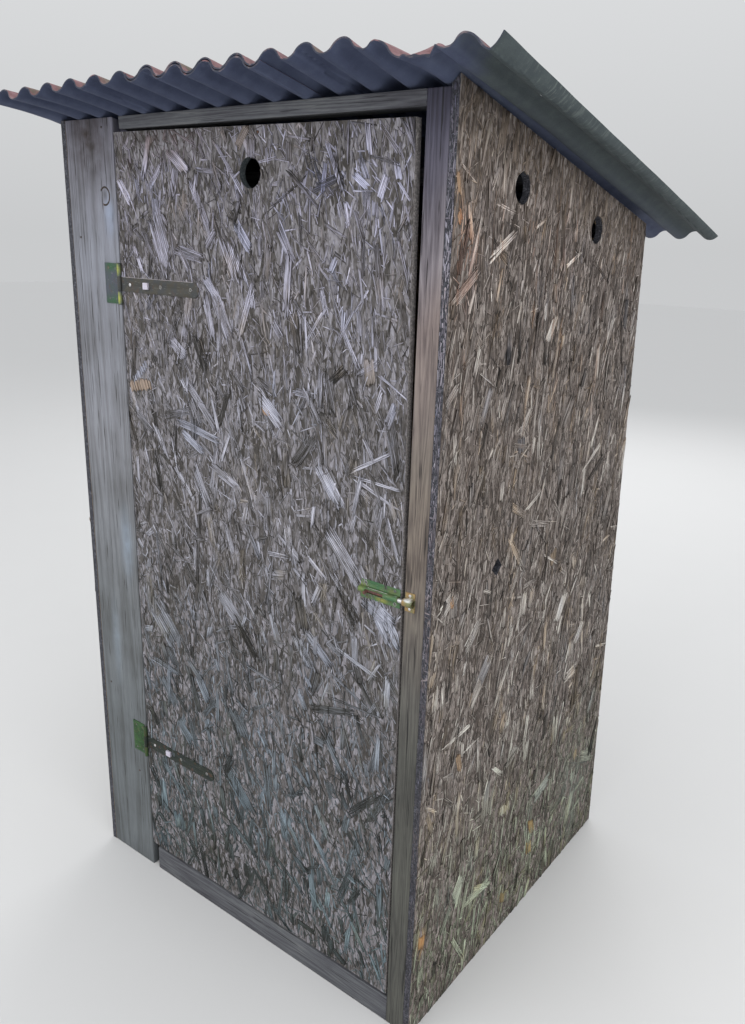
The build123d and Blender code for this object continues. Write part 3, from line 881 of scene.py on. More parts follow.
def steel_finish(name, base, rough=0.3, rust=0.3, dark_end_from=None):
    """Bare steel with a little rust, and one end darker and browner where it lies in its sleeve."""
    f = Finish(name)
    fine = f.noise(f.place, 380)
    spots = f.noise(f.place, 90).above(0.6, 0.05)
    colour = f.mix(fine * 0.5, base, tone(120, 116, 110))
    worn = spots * rust
    if dark_end_from is not None:
        edge = f.parts_of(f.place)[0] + (fine - 0.5) * 0.01
        dark_end = 1 - edge.above(dark_end_from, 2 * MM)
        colour = f.mix(dark_end, colour, f.ramp(fine, *DARK_END_STOPS))
        worn = worn.highest(dark_end)
    colour = f.mix(spots * rust, colour, tone(118, 74, 44))
    return f.done(colour, rough + fine * 0.25 + worn * 0.2, fine, STEEL_RELIEF, 0.9 - worn * 0.9)


# Settings that a user may change
class FlakeSettings(PropertyGroup):
    """Flakes on the chipboard faces."""

    density: FloatProperty(
        name="Density", description="Share of the full number of flakes", default=1.0, subtype="FACTOR"
    )
    seed: IntProperty(name="Seed", description="Which scatter of flakes is laid", default=41)
    door_lean: FloatProperty(
        name="Door lean", description="Degrees from upright of the door's flakes", default=-14.0
    )
    wall_lean: FloatProperty(
        name="Wall lean", description="Degrees from upright of the walls' flakes", default=7.0
    )


class TimberSettings(PropertyGroup):
    """Posts, rails and boards."""

    edge_wear: FloatProperty(
        name="Edge wear", description="Rounding of the edges", default=2.2 * MM, unit="LENGTH"
    )
    relief: FloatProperty(
        name="Relief", description="Depth of the raised grain", default=0.7 * MM, unit="LENGTH"
    )
    long_pitch: FloatProperty(
        name="Long pitch", description="Spacing of cuts along the grain", default=0.07, unit="LENGTH"
    )
    cross_pitch: FloatProperty(
        name="Cross pitch", description="Spacing of cuts across the grain", default=0.012, unit="LENGTH"
    )
    grain_stretch: FloatProperty(
        name="Grain stretch", description="Length of grain against its width", default=18.0
    )


class RoofSettings(PropertyGroup):
    """Corrugated sheets."""

    row_pitch: FloatProperty(
        name="Row pitch", description="Spacing of cuts down the slope", default=0.04, unit="LENGTH"
    )
    front_pitch: FloatProperty(
        name="Front pitch", description="Spacing of cuts near the front edge", default=0.008, unit="LENGTH"
    )
    wander: FloatProperty(
        name="Wander", description="How uneven the sheets are", default=1.6 * MM, unit="LENGTH"
    )
    fold_length: FloatProperty(
        name="Fold length", description="Length of the folded part of a crest", default=0.050, unit="LENGTH"
    )
    fold_drop: FloatProperty(
        name="Fold drop", description="How far the folded crest hangs down", default=0.033, unit="LENGTH"
    )
    rim_reach: FloatProperty(
        name="Rim reach", description="How far back the right rim droops", default=0.9, unit="LENGTH"
    )
    rim_drop: FloatProperty(
        name="Rim drop", description="How far the left rim hangs down", default=0.014, unit="LENGTH"
    )


class MetalSettings(PropertyGroup):
    """Hinges, bolt, screws and nails."""

    seed: IntProperty(name="Seed", description="How the screws happen to be turned", default=5)
    edge_rounding: FloatProperty(
        name="Edge rounding", description="Rounding of plates and rods", default=0.35 * MM, unit="LENGTH"
    )
    hinge_plate: FloatProperty(
        name="Hinge plate", description="Thickness of the hinge plates", default=2.5 * MM, unit="LENGTH"
    )
    latch_plate: FloatProperty(
        name="Latch plate", description="Thickness of the latch plates", default=2.0 * MM, unit="LENGTH"
    )
    screw_radius: FloatProperty(
        name="Screw radius", description="Radius of the screw heads", default=4.4 * MM, unit="LENGTH"
    )
    screw_height: FloatProperty(
        name="Screw height", description="Height of the screw heads", default=2.0 * MM, unit="LENGTH"
    )
    square_side: FloatProperty(
        name="Square side", description="Side of the square heads", default=19 * MM, unit="LENGTH"
    )
    square_height: FloatProperty(
        name="Square height", description="How far the square heads stand out", default=7 * MM, unit="LENGTH"
    )


class StageSettings(PropertyGroup):
    """Floor, camera and lamps."""

    camera_place: FloatVectorProperty(
        name="Camera", description="Camera position", default=(1.555, -2.049, 2.004), subtype="XYZ"
    )
    yaw: FloatProperty(name="Yaw", description="Camera turn", default=0.6424, subtype="ANGLE")
    pitch: FloatProperty(name="Pitch", description="Camera tilt", default=-0.309, subtype="ANGLE")
    roll: FloatProperty(name="Roll", description="Camera roll", default=0.0315, subtype="ANGLE")
    lens: FloatProperty(name="Lens", description="Focal length", default=30.09, unit="CAMERA")
    floor_colour: FloatVectorProperty(
        name="Floor", description="Colour of the floor", default=(0.60, 0.60, 0.60), subtype="COLOR"
    )
    sky_colour: FloatVectorProperty(
        name="Sky", description="Colour of the sky", default=(0.97, 0.985, 1.0), subtype="COLOR"
    )
    horizon: FloatProperty(name="Horizon", description="Brightness of the sky at the horizon", default=0.60)
    zenith: FloatProperty(name="Zenith", description="Brightness of the sky overhead", default=1.10)
    front_power: FloatProperty(
        name="Front lamp", description="Power of the lamp in front", default=170.0, unit="POWER"
    )
    side_power: FloatProperty(
        name="Side lamps", description="Power of the lamps at the sides", default=170.0, unit="POWER"
    )


# Stage, in metres, and the camera's sensor in millimetres
FLOOR_SIZE = 60
LAMP_SIZE = 5.0
LAMP_AIM = Vector((0, 0, 1.1))
SENSOR_WIDTH = 36


class OUTHOUSE_OT_stage(Operator):
    """Adds the pale floor, the soft lamps and the camera."""

    bl_idname = "outhouse.stage"
    bl_label = "Stage"

    def execute(self, context):
        settings = context.scene.outhouse_stage
        self.add_floor(settings)
        self.add_lamps(context.scene, settings)
        self.add_camera(context.scene, settings)
        context.scene.view_settings.view_transform = "Standard"
        return {"FINISHED"}

    def add_floor(self, settings):
        deselect()
        bpy.ops.mesh.primitive_plane_add(size=FLOOR_SIZE)
        floor = bpy.context.object
        floor.name = "floor"
        finish = Finish("studio_floor")
        speckle = finish.noise(finish.place, 3, detail=2)
        colour = finish.mix(speckle * 0.1, tuple(settings.floor_colour), (0.5, 0.5, 0.5))
        paint(floor, finish.done(colour, 0.9))

    def add_lamps(self, scene, settings):
        world = bpy.data.worlds.new("overcast")
        world.use_nodes = True
        tree = world.node_tree
        sky = tree.nodes["Background"]
        view = tree.nodes.new("ShaderNodeTexCoord")
        split = tree.nodes.new("ShaderNodeSeparateXYZ")
        rise = tree.nodes.new("ShaderNodeMapRange")
        tree.links.new(view.outputs["Generated"], split.inputs[0])
        tree.links.new(split.outputs[2], rise.inputs[0])
        rise.inputs[3].default_value = settings.horizon
        rise.inputs[4].default_value = settings.zenith
        tree.links.new(rise.outputs[0], sky.inputs["Strength"])
        sky.inputs["Color"].default_value = (*settings.sky_colour, 1)
        scene.world = world
        lamps = (
            ("sky_front", (-1.0, -5.5, 3.4), settings.front_power),
            ("sky_right", (5.5, -1.5, 3.0), settings.side_power),
            ("sky_back", (-2.0, 6.0, 5.0), settings.side_power),
        )
        for name, place, power in lamps:
            data = bpy.data.lights.new(name, "AREA")
            data.size = LAMP_SIZE
            data.energy = power
            lamp = bpy.data.objects.new(name, data)
            lamp.location = place
            aim = LAMP_AIM - Vector(place)
            lamp.rotation_euler = aim.to_track_quat("-Z", "Y").to_euler()
            scene.collection.objects.link(lamp)

    def add_camera(self, scene, settings):
        yaw, pitch, roll = settings.yaw, settings.pitch, settings.roll
        forward = Vector(
            (-math.sin(yaw) * math.cos(pitch), math.cos(yaw) * math.cos(pitch), math.sin(pitch))
        )
        right = Vector((math.cos(yaw), math.sin(yaw), 0))
        up = right.cross(forward)
        turned = right * math.cos(roll) + up * math.sin(roll)
        raised = up * math.cos(roll) - right * math.sin(roll)
        data = bpy.data.cameras.new("photo_camera")
        data.lens = settings.lens
        data.sensor_width = SENSOR_WIDTH
        camera = bpy.data.objects.new("photo_camera", data)
        matrix = Matrix((turned, raised, -forward)).transposed().to_4x4()
        matrix.translation = settings.camera_place
        camera.matrix_world = matrix
        scene.collection.objects.link(camera)
        scene.camera = camera


# Depth of the shaded relief
WOOD_RELIEF = 0.7 * MM
SHEET_RELIEF = 0.6 * MM
ROOF_RELIEF = 0.35 * MM
ZINC_RELIEF = 0.1 * MM
STEEL_RELIEF = 0.08 * MM

# Tones of the wood and the roof
DOOR_STOPS = tone_stops(
    (0.05, 28, 25, 22), (0.28, 70, 66, 63), (0.50, 118, 115, 119), (0.72, 162, 160, 171),
    (1.00, 216, 214, 226),
)
WALL_STOPS = tone_stops(
    (0.05, 28, 23, 19), (0.28, 70, 61, 55), (0.50, 118, 109, 104), (0.72, 170, 162, 156),
    (1.00, 230, 225, 216),
)
EDGE_STOPS = tone_stops(
    (0.10, 52, 51, 58), (0.35, 76, 74, 83), (0.60, 96, 94, 103), (0.90, 122, 121, 130)
)
DARK_CUT_STOPS = tone_stops((0.3, 26, 26, 30), (0.52, 52, 53, 60), (0.72, 104, 104, 112))
# The door's pale cut edges are painted light, against the shade in the gaps around the door.
PAINTED_LIGHT_CUT_STOPS = tone_stops((0.3, 80, 77, 78), (0.52, 128, 123, 122), (0.72, 176, 172, 168))
VENT_STOPS = tone_stops((0.3, 36, 42, 44), (0.52, 58, 64, 67), (0.72, 88, 94, 94))
INSIDE_STOPS = tone_stops(
    (0.05, 72, 56, 40), (0.30, 118, 96, 70), (0.52, 148, 124, 92), (0.75, 172, 148, 112),
    (1.00, 198, 178, 144),
)
# Plain browns of the painted shade close under the roof
ROOF_SHADE_STOPS = tone_stops((0.2, 74, 64, 54), (0.5, 100, 88, 76), (0.8, 128, 114, 100))
POST_STOPS = tone_stops(
    (0.15, 44, 40, 40), (0.40, 92, 86, 86), (0.60, 118, 112, 110), (0.85, 146, 140, 136)
)
RAIL_STOPS = tone_stops(
    (0.15, 34, 34, 38), (0.40, 64, 64, 70), (0.60, 86, 88, 92), (0.85, 114, 114, 112)
)
BOARD_STOPS = tone_stops(
    (0.15, 60, 58, 58), (0.40, 112, 112, 116), (0.60, 136, 137, 144), (0.85, 160, 162, 168)
)
FLOOR_STOPS = tone_stops(
    (0.15, 66, 54, 42), (0.40, 112, 94, 72), (0.60, 138, 120, 94), (0.85, 164, 148, 122)
)
ROOF_TOP_STOPS = tone_stops(
    (0.25, 70, 44, 46), (0.45, 106, 72, 74), (0.6, 132, 98, 102), (0.8, 156, 130, 136)
)
ROOF_UNDER_STOPS = tone_stops((0.3, 50, 57, 80), (0.5, 62, 70, 94), (0.7, 76, 84, 106))
ROOF_FLANK_STOPS = tone_stops((0.3, 44, 52, 56), (0.5, 56, 65, 68), (0.7, 72, 81, 80))
DARK_END_STOPS = tone_stops((0.35, 46, 28, 26), (0.65, 96, 58, 48))

# Where the roof's right flank turns green and worn, and where its front lip is dark
ROOF_GREEN_FROM = 0.650
ROOF_WORN_FROM = 0.752
ROOF_LIP_FROM = 0.68

# Front edge of the roof: X in metres, and how far it has moved up and sideways in millimetres
FRONT_EDGE = (
    (-0.66, -16, 0), (-0.48, -15, 0), (-0.36, -9, 0), (-0.18, -5, 0), (0.05, -4, 0), (0.25, -3, 0),
    (0.34, 0, 0), (0.42, 2, 0), (0.47, 2, 0), (0.51, 4, 0), (0.557, -9, -14), (0.60, -17, -5),
    (0.612, -10, -4), (0.641, -8, -2), (0.67, -13, -2), (0.69, -8, 0), (0.733, -12, -12),
    (0.773, -19, -2), (0.80, -4, -6),
)

# Bends of the roof: X of the folded crest and of the drooping rim, and Y that fine cuts reach
FOLD_SPAN = (0.606, 0.636, 0.655, 0.668)
RIM_SPAN = (0.64, 0.72)
DROOP_CURVE = 1.6
FINE_CUTS_TO = FRONT - 0.06

# Stains: spot, reach along each axis, colour, strength and how it blends
BOARD_STAINS = (
    ((-0.51, FRONT, 2.25), (0.16, 0.1, 0.22), tone(110, 92, 80), 1.0, "MULTIPLY"),
    ((-0.44, FRONT, 2.04), (0.03, 0.1, 0.09), tone(138, 150, 172), 0.8, "MIX"),
    ((-0.45, FRONT, 1.12), (0.04, 0.1, 0.16), tone(138, 152, 168), 0.6, "MIX"),
    ((-0.53, FRONT, 0.78), (0.03, 0.1, 0.20), tone(140, 152, 164), 0.5, "MIX"),
    ((-0.452, FRONT, 2.092), (0.014, 0.1, 0.022), tone(126, 112, 100), 0.8, "MULTIPLY"),
)
DOOR_STAINS = (
    ((-0.20, FRONT, 2.22), (0.24, 0.1, 0.09), tone(186, 160, 134), 1.0, "MULTIPLY"),
    ((0.29, FRONT, 2.12), (0.07, 0.1, 0.11), tone(140, 150, 176), 0.9, "MULTIPLY"),
    ((-0.35, FRONT, 2.16), (0.03, 0.1, 0.05), tone(150, 120, 92), 1.0, "MULTIPLY"),
    ((0.00, FRONT, 0.20), (0.42, 0.1, 0.16), tone(170, 150, 122), 0.8, "MULTIPLY"),
)
WALL_STAINS = (
    ((RIGHT, -0.568, 2.11), (0.1, 0.03, 0.09), tone(178, 146, 116), 0.35, "MIX"),
    ((RIGHT, -0.557, 2.04), (0.1, 0.035, 0.05), tone(174, 140, 112), 0.35, "MIX"),
    ((RIGHT, -0.52, 1.96), (0.1, 0.07, 0.16), tone(214, 168, 150), 0.9, "MULTIPLY"),
    ((RIGHT, -0.08, 1.98), (0.1, 0.02, 0.26), tone(150, 104, 74), 0.8, "MULTIPLY"),
    ((RIGHT, -0.24, 2.22), (0.1, 0.42, 0.10), tone(196, 180, 160), 0.7, "MULTIPLY"),
    ((RIGHT, -0.48, 1.27), (0.1, 0.06, 0.10), tone(150, 128, 112), 0.9, "MULTIPLY"),
    ((RIGHT, 0.37, 0.24), (0.1, 0.22, 0.34), tone(148, 156, 148), 0.4, "MIX"),
    ((RIGHT, -0.54, 0.28), (0.1, 0.03, 0.07), tone(190, 136, 84), 0.6, "MIX"),
)

# Tint by height, from stops at shares of FADE_HEIGHT
FADE_HEIGHT = 2.4
DOOR_FADE = (
    (0.10, (0.29, 0.40, 0.39)), (0.30, (0.45, 0.53, 0.54)), (0.50, (0.90, 0.92, 0.92)),
    (0.66, (0.92, 0.94, 0.96)), (0.86, (1.0, 1.0, 1.10)),
)
# On the wall, the top stop, 1.4 times as bright from about 2.06 m up, is painted light that offsets the
# roof's shade.
WALL_TINT_AND_PAINTED_LIGHT = (
    (0.10, (0.66, 0.80, 0.64)), (0.30, (0.97, 1.0, 0.99)), (0.76, (1.0, 1.0, 1.0)),
    (0.86, (1.4, 1.38, 1.38)),
)
POST_FADE = (
    (0.34, (0.40, 0.45, 0.40)), (0.42, (0.50, 0.53, 0.49)), (0.54, (1.05, 0.97, 0.82)),
    (0.65, (0.80, 0.75, 0.67)), (0.75, (1.2, 1.08, 1.05)), (0.81, (1.1, 1.1, 1.25)),
    (0.88, (0.50, 0.52, 0.72)), (0.94, (0.28, 0.30, 0.50)),
)
BOARD_FADE = (
    (0.20, (0.44, 0.48, 0.46)), (0.40, (0.56, 0.59, 0.57)), (0.60, (0.78, 0.79, 0.79)),
    (0.82, (0.78, 0.80, 0.84)), (0.95, (0.90, 0.88, 0.98)),
)
EDGE_FADE = (
    (0.36, (0.55, 0.53, 0.52)), (0.42, (1.1, 1.05, 1.04)), (0.48, (1.3, 1.25, 1.2)),
    (0.56, (1.6, 1.5, 1.44)), (0.62, (2.0, 1.9, 1.8)), (0.68, (1.25, 1.2, 1.15)),
    (0.75, (2.7, 2.6, 2.5)), (0.85, (1.6, 1.56, 1.54)), (0.94, (0.70, 0.66, 0.72)),
)

# The largest single flakes, listed to about 10 mm: both ends across and up the face and the
# width, in millimetres, then tone, dark 0 to pale 1, and hue, bluish below 0, rusty above 2
DOOR_MARKS = (
    (-260, 2050, -210, 1910, 50, 0.8, 0.3), (-120, 2120, -60, 2020, 20, 0.7, 0.2),
    (30, 2030, 80, 1970, 24, 0.75, -1.5), (0, 1990, 50, 1890, 45, 0.85, 0.2),
    (130, 2050, 250, 2130, 6, 0.05, 0.5), (380, 2130, 420, 2100, 15, 0.85, -1.5),
    (-210, 1740, -160, 1700, 30, 0.8, 0.2), (-80, 1870, -50, 1750, 18, 0.75, 0.4),
    (-50, 1870, 10, 1760, 34, 0.8, 0.3), (-350, 1650, -340, 1630, 78, 0.7, -2),
    (-350, 1620, -340, 1590, 88, 0.55, 3), (-150, 1630, -50, 1530, 22, 0.8, 0.2),
    (-200, 1530, -40, 1500, 20, 0.7, -1), (-180, 1500, -100, 1460, 20, 0.7, -1.5),
    (-400, 1550, -300, 1480, 20, 0.75, 0.4), (0, 1640, -40, 1540, 16, 0.1, 0.6),
    (210, 1840, 230, 1750, 28, 0.1, 0.9), (310, 1860, 240, 1760, 8, 0.85, 0.4),
    (100, 1640, 180, 1570, 34, 0.8, 0.3), (-140, 1420, -80, 1310, 24, 0.75, 0.3),
    (-120, 1360, -140, 1100, 10, 0.0, 0.5), (390, 1490, 540, 1430, 8, 0.95, 0.2),
    (400, 1490, 540, 1480, 7, 0.9, 0.2), (390, 1500, 500, 1560, 9, 0.85, 0.7),
    (320, 1350, 430, 1230, 38, 0.8, 0.3), (170, 1300, 240, 1240, 20, 0.75, 0.3),
    (-60, 1080, 10, 1010, 25, 0.8, 0.4), (340, 1240, 420, 1150, 16, 0.8, 0.3),
    (440, 1200, 520, 1160, 40, 0.6, -2), (-340, 970, -240, 860, 74, 0.8, 0.1),
    (-50, 1080, 50, 980, 38, 0.8, 0.5), (220, 1040, 280, 960, 30, 0.75, 0.6),
    (-160, 800, -110, 720, 30, 0.7, 0.1), (-20, 740, 40, 660, 32, 0.7, 0.1),
    (230, 1150, 250, 1060, 36, 0.1, 0.9), (460, 1210, 540, 1100, 50, 0.7, -1.2),
    (260, 1060, 340, 990, 22, 0.7, -0.5), (350, 1050, 480, 1010, 10, 0.9, 0.6),
    (280, 850, 420, 890, 20, 0.2, 0.3), (410, 590, 500, 690, 22, 0.15, 0.8),
    (110, 620, 130, 460, 16, 0.6, 0.9), (-250, 610, -190, 550, 32, 0.8, -0.4),
    (-50, 530, 60, 420, 44, 0.75, 0.2), (-330, 430, -240, 340, 17, 0.85, 0.4),
    (-270, 270, -260, 210, 46, 0.6, -1.8), (-30, 350, 80, 280, 15, 0.6, 0.4),
    (40, 2190, 80, 2240, 20, 0.55, 2.2), (430, 1760, 440, 1700, 27, 0.5, 2.2),
    (120, 1610, 130, 1590, 20, 0.6, 4),
)
WALL_MARKS = (
    (-430, 1970, -320, 2030, 18, 0.85, 0.6), (-570, 1880, -470, 1950, 22, 0.85, 0.6),
    (-80, 1950, -100, 2090, 16, 0.1, 0.8), (-380, 1700, -420, 1610, 20, 0.65, -1),
    (-310, 1670, -330, 1620, 14, 0.85, 1.6), (-180, 1630, -230, 1560, 20, 0.8, -0.3),
    (-220, 1560, -210, 1520, 35, 0.1, -2), (-150, 1690, -160, 1470, 9, 0.85, 0.5),
    (280, 1460, 170, 1400, 11, 0.9, 0.4), (-400, 1520, -390, 1440, 32, 0.1, 1.4),
    (-240, 1310, -140, 1190, 18, 0.7, 1.1), (140, 1040, 100, 960, 38, 0.8, 0.3),
    (300, 890, 250, 830, 26, 0.85, 0.3), (-290, 1000, -340, 940, 40, 0.65, -1.6),
    (290, 740, 210, 730, 38, 0.85, 0.7), (-480, 1240, -540, 1200, 34, 0.8, 0.1),
    (-330, 950, -370, 900, 35, 0.9, 0.1), (-360, 840, -490, 830, 10, 0.9, 0.5),
    (-90, 640, -140, 590, 30, 0.8, 0.3), (410, 350, 520, 300, 40, 0.8, 0.5),
    (300, 380, 480, 290, 4, 0.0, 0.5), (170, 400, 70, 370, 44, 0.7, -1.2),
    (-130, 470, -120, 430, 50, 0.8, 0.6), (-250, 600, -250, 470, 35, 0.5, -0.2),
    (-180, 240, -330, 250, 27, 0.9, 0.5), (-350, 360, -390, 310, 42, 0.85, 0),
    (60, 220, 70, 170, 30, 0.6, 4), (-500, 1240, -490, 1200, 14, 0.6, 5),
    (30, 1200, 40, 1160, 36, 0.35, 2), (360, 400, 370, 360, 22, 0.35, 4),
    (60, 300, 80, 240, 30, 0.5, 5), (-570, 2130, -560, 2090, 11, 0.5, 2.8),
    (-560, 2060, -550, 2040, 14, 0.55, 3.2), (-420, 780, -400, 720, 20, 0.4, 3),
    (-540, 300, -540, 260, 28, 0.5, 4), (-90, 130, -90, 90, 30, 0.45, 3.5),
)


# Seeds of the cut edges start this far after those of the faces
EDGE_SEEDS = 50


class OUTHOUSE_OT_chipboard(Operator):
    """Covers the chipboard sheets with flakes and gives them their weathered finish."""

    bl_idname = "outhouse.chipboard"
    bl_label = "Chipboard"

    def execute(self, context):
        settings = context.scene.outhouse_flakes
        door = flake_finish(
            "door_flakes", DOOR_STOPS, DOOR_STAINS, tone(190, 176, 158), tone(194, 198, 218), fade=DOOR_FADE
        )
        side = flake_finish(
            "wall_flakes", WALL_STOPS, WALL_STAINS, tone(208, 180, 148), tone(202, 200, 206),
            fade=WALL_TINT_AND_PAINTED_LIGHT, streaks_and_roof_shade=True,
        )
        edge = flake_finish(
            "edge_flakes", EDGE_STOPS, (), tone(150, 136, 130), tone(150, 156, 190), fade=EDGE_FADE
        )
        inner = flake_finish(
            "inner_flakes", INSIDE_STOPS, (), tone(214, 176, 120), tone(200, 190, 170), streak_depth=0.3
        )
        lean = (0, -math.sin(BACK_LEAN), math.cos(BACK_LEAN))
        self.paint_sheets()
        faces = (
            ("door_front", "door_panel", (1, 0, 0), (0, 0, 1), door, settings.door_lean, 1.0, 3),
            ("door_back", "door_panel", (-1, 0, 0), (0, 0, 1), inner, 8, 0.3, 1),
            ("right_outside", "wall_right", (0, 1, 0), (0, 0, 1), side, settings.wall_lean, 1.0, 3),
            ("right_inside", "wall_right", (0, -1, 0), (0, 0, 1), inner, 4, 0.22, 1),
            ("left_outside", "wall_left", (0, -1, 0), (0, 0, 1), side, 6, 0.6, 2),
            ("left_inside", "wall_left", (0, 1, 0), (0, 0, 1), inner, -6, 0.22, 1),
            ("back_outside", "wall_back", (-1, 0, 0), lean, side, -6, 0.6, 2),
            ("back_inside", "wall_back", (1, 0, 0), lean, inner, 5, 0.22, 1),
        )
        for number, (name, node, across, up, finish, turn, share, bands) in enumerate(faces):
            face = Face(node, across, up)
            self.add_holes(face, node)
            if node == "door_panel":
                specs = flake_specs(turn, fan=21, stray=0.16)
                body, slot = "door", "chipboard_door"
            else:
                specs = flake_specs(turn, fan=12, stray=0.14, slim=1.14)
                body, slot = "cabin", "chipboard_side"
            seed = settings.seed + number
            density = settings.density * share
            marks = {"door_front": DOOR_MARKS, "right_outside": WALL_MARKS}.get(name, ())
            add_face_flakes(f"{name}_flakes", face, seed, density, specs, finish, body, slot, marks, bands)
        edges = (
            ("right_front_edge", "wall_right", (1, 0, 0), (0, 0, 1)),
            ("right_back_edge", "wall_right", (-1, 0, 0), lean),
            ("left_back_edge", "wall_left", (-1, 0, 0), lean),
        )
        for number, (name, node, across, up) in enumerate(edges):
            face = Face(node, across, up)
            seed = settings.seed + EDGE_SEEDS + number
            add_face_flakes(name, face, seed, settings.density, edge_specs(), edge, "cabin", "chipboard_side")
        return {"FINISHED"}

    def paint_sheets(self):
        sheets = (
            # The door's cut edges take painted light.
            ("door_panel", 1, -1, DOOR_STOPS, PAINTED_LIGHT_CUT_STOPS),
            ("wall_right", 0, 1, WALL_STOPS, DARK_CUT_STOPS),
            ("wall_left", 0, -1, WALL_STOPS, DARK_CUT_STOPS),
            ("wall_back", 1, 1, WALL_STOPS, DARK_CUT_STOPS),
        )
        for node, axis, outward, stops, cut in sheets:
            vents = self.vents_of(node) if node == "door_panel" else ()
            finish = sheet_finish(f"{node}_sheet", axis, outward, stops, INSIDE_STOPS, cut, vents)
            paint(frame["nodes"][node], finish)

    def vents_of(self, node):
        """The middles of the vents that are sawn through a sheet."""
        for opening in frame["record"]["physics"]["openings"]:
            is_door = opening["name"] == "vent_door" and node == "door_panel"
            if is_door or opening["name"].startswith(f"vent_{node[5:]}_"):
                yield tuple(float(c) for c in np.mean(opening["box_m"], axis=0))

    def add_holes(self, face, node):
        for middle in self.vents_of(node):
            face.holes.append((face.on_face(middle), VENT_RADIUS))
        if node == "wall_right":
            face.holes.append((face.on_face(KNOT_HOLE), KNOT_HOLE_RADIUS))


# Waves of the raised grain: size, shares of the relief and of the stretch, and shift by node
GRAIN_WAVES = ((0.012, 1.0, 1.0, 0.37), (0.06, 1.6, 0.6, 0.91))
SHOWN_NODES = ("hinge_board", "post_latch", "rail_front")
SHOWN_PITCH = 0.6
HIDDEN_PITCH = 1.5


class OUTHOUSE_OT_timber(Operator):
    """Rounds the posts, rails, floor and base timbers and gives them their grain."""

    bl_idname = "outhouse.timber"
    bl_label = "Timber"

    def execute(self, context):
        settings = context.scene.outhouse_timber
        upright = timber_finish("post_grain", 2, POST_STOPS, fade=POST_FADE)
        cross = timber_finish("rail_grain", 0, RAIL_STOPS)
        deep = timber_finish("side_rail_grain", 1, RAIL_STOPS)
        board = timber_finish(
            "board_grain", 2, BOARD_STOPS, BOARD_STAINS, ring_scale=15.0, contrast=0.9, fade=BOARD_FADE
        )
        floor = timber_finish("floor_grain", 0, FLOOR_STOPS, ring_scale=20.0, contrast=0.9)
        crosswise = ("sill_front", "rail_front", "rail_back", "girt_back", "base_back", "purlin_")
        kinds = (
            ("hinge_board", 2, board, "grey_board"),
            ("post_", 2, upright, "frame_timber"),
            (crosswise, 0, cross, "frame_timber"),
            ("floor_", 0, floor, "floor_board"),
            (("rail_", "girt_", "base_", "joist_"), 1, deep, "frame_timber"),
        )
        for number, node in enumerate(sorted(frame["nodes"])):
            for start, axis, finish, slot in kinds:
                if node.startswith(start):
                    self.dress(node, axis, finish, slot, number, settings)
                    break
        return {"FINISHED"}

    def dress(self, node, axis, finish, slot, number, settings):
        low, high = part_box(node)
        obj = dress_copy(node)
        modify(
            obj, "BEVEL", width=settings.edge_wear, segments=2, limit_method="ANGLE",
            angle_limit=math.radians(50),
        )
        cross_pitch = settings.cross_pitch * (SHOWN_PITCH if node in SHOWN_NODES else HIDDEN_PITCH)
        for k in range(3):
            unit = [float(k == j) for j in range(3)]
            pitch = settings.long_pitch if k == axis else cross_pitch
            slice_along(obj, unit, low[k], high[k], pitch)
        for size, depth, length, shift in GRAIN_WAVES:
            stretch = [1.0, 1.0, 1.0]
            stretch[axis] = settings.grain_stretch * length
            roughen(obj, settings.relief * depth, size, stretch, number * shift)
        self.hold_on_ground(obj)
        keep_in_box(obj)
        smooth(obj, 40)
        attach(obj, finish, "cabin", slot, node)

    def hold_on_ground(self, obj):
        for vertex in obj.data.vertices:
            vertex.co.z = max(vertex.co.z, 0.0)


class OUTHOUSE_OT_roof(Operator):
    """Shapes the two roof sheets: a drooping front edge and a crest that is folded down."""

    bl_idname = "outhouse.roof"
    bl_label = "Roof"

    def execute(self, context):
        settings = context.scene.outhouse_roof
        finish = roof_finish()
        for side in ("left", "right"):
            node = f"roof_sheet_{side}"
            low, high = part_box(node)
            obj = dress_copy(node)
            slice_along(obj, (0, 1, 0), FINE_CUTS_TO, high.y, settings.row_pitch)
            slice_along(obj, (0, 1, 0), low.y, FINE_CUTS_TO, settings.front_pitch)
            self.bend(obj, settings)
            roughen(obj, settings.wander, 0.05, (1, 3, 1), 0.4)
            keep_in_box(obj)
            smooth(obj, 35)
            attach(obj, finish, "cabin", "roof_sheet", node)
        return {"FINISHED"}

    def bend(self, obj, settings):
        """Bends the front edge by its profile, folds a crest down and lets the left rim sag."""
        across, drop, shift = np.array(FRONT_EDGE).T
        for vertex in obj.data.vertices:
            x, y, _ = vertex.co
            behind_edge = y - roof_front_edge(x)
            reach = FRONT - roof_front_edge(x) + settings.rim_reach * float(np.interp(x, RIM_SPAN, (0, 1)))
            out = min(max(1 - behind_edge / reach, 0.0), 1.0) ** DROOP_CURVE
            vertex.co.z += float(np.interp(x, across, drop)) * MM * out
            vertex.co.x += float(np.interp(x, across, shift)) * MM * out
            fold = min(max(1 - behind_edge / settings.fold_length, 0.0), 1.0)
            inside = float(np.interp(x, FOLD_SPAN, (0, 1, 1, 0)))
            vertex.co.z -= settings.fold_drop * inside * fold
            past_wall = max(LEFT - x, 0.0) / (LEFT - CAD_BOX[0][0])
            vertex.co.z -= settings.rim_drop * past_wall


def repeated(pattern, places, name):
    """One mesh that repeats a modelled pattern, each copy placed by a matrix."""
    copies = []
    for place in places:
        mesh = pattern.data.copy()
        mesh.transform(place)
        copy = bpy.data.objects.new(name, mesh)
        bpy.context.scene.collection.objects.link(copy)
        copies.append(copy)
    bpy.data.objects.remove(pattern)
    return join(copies, name)


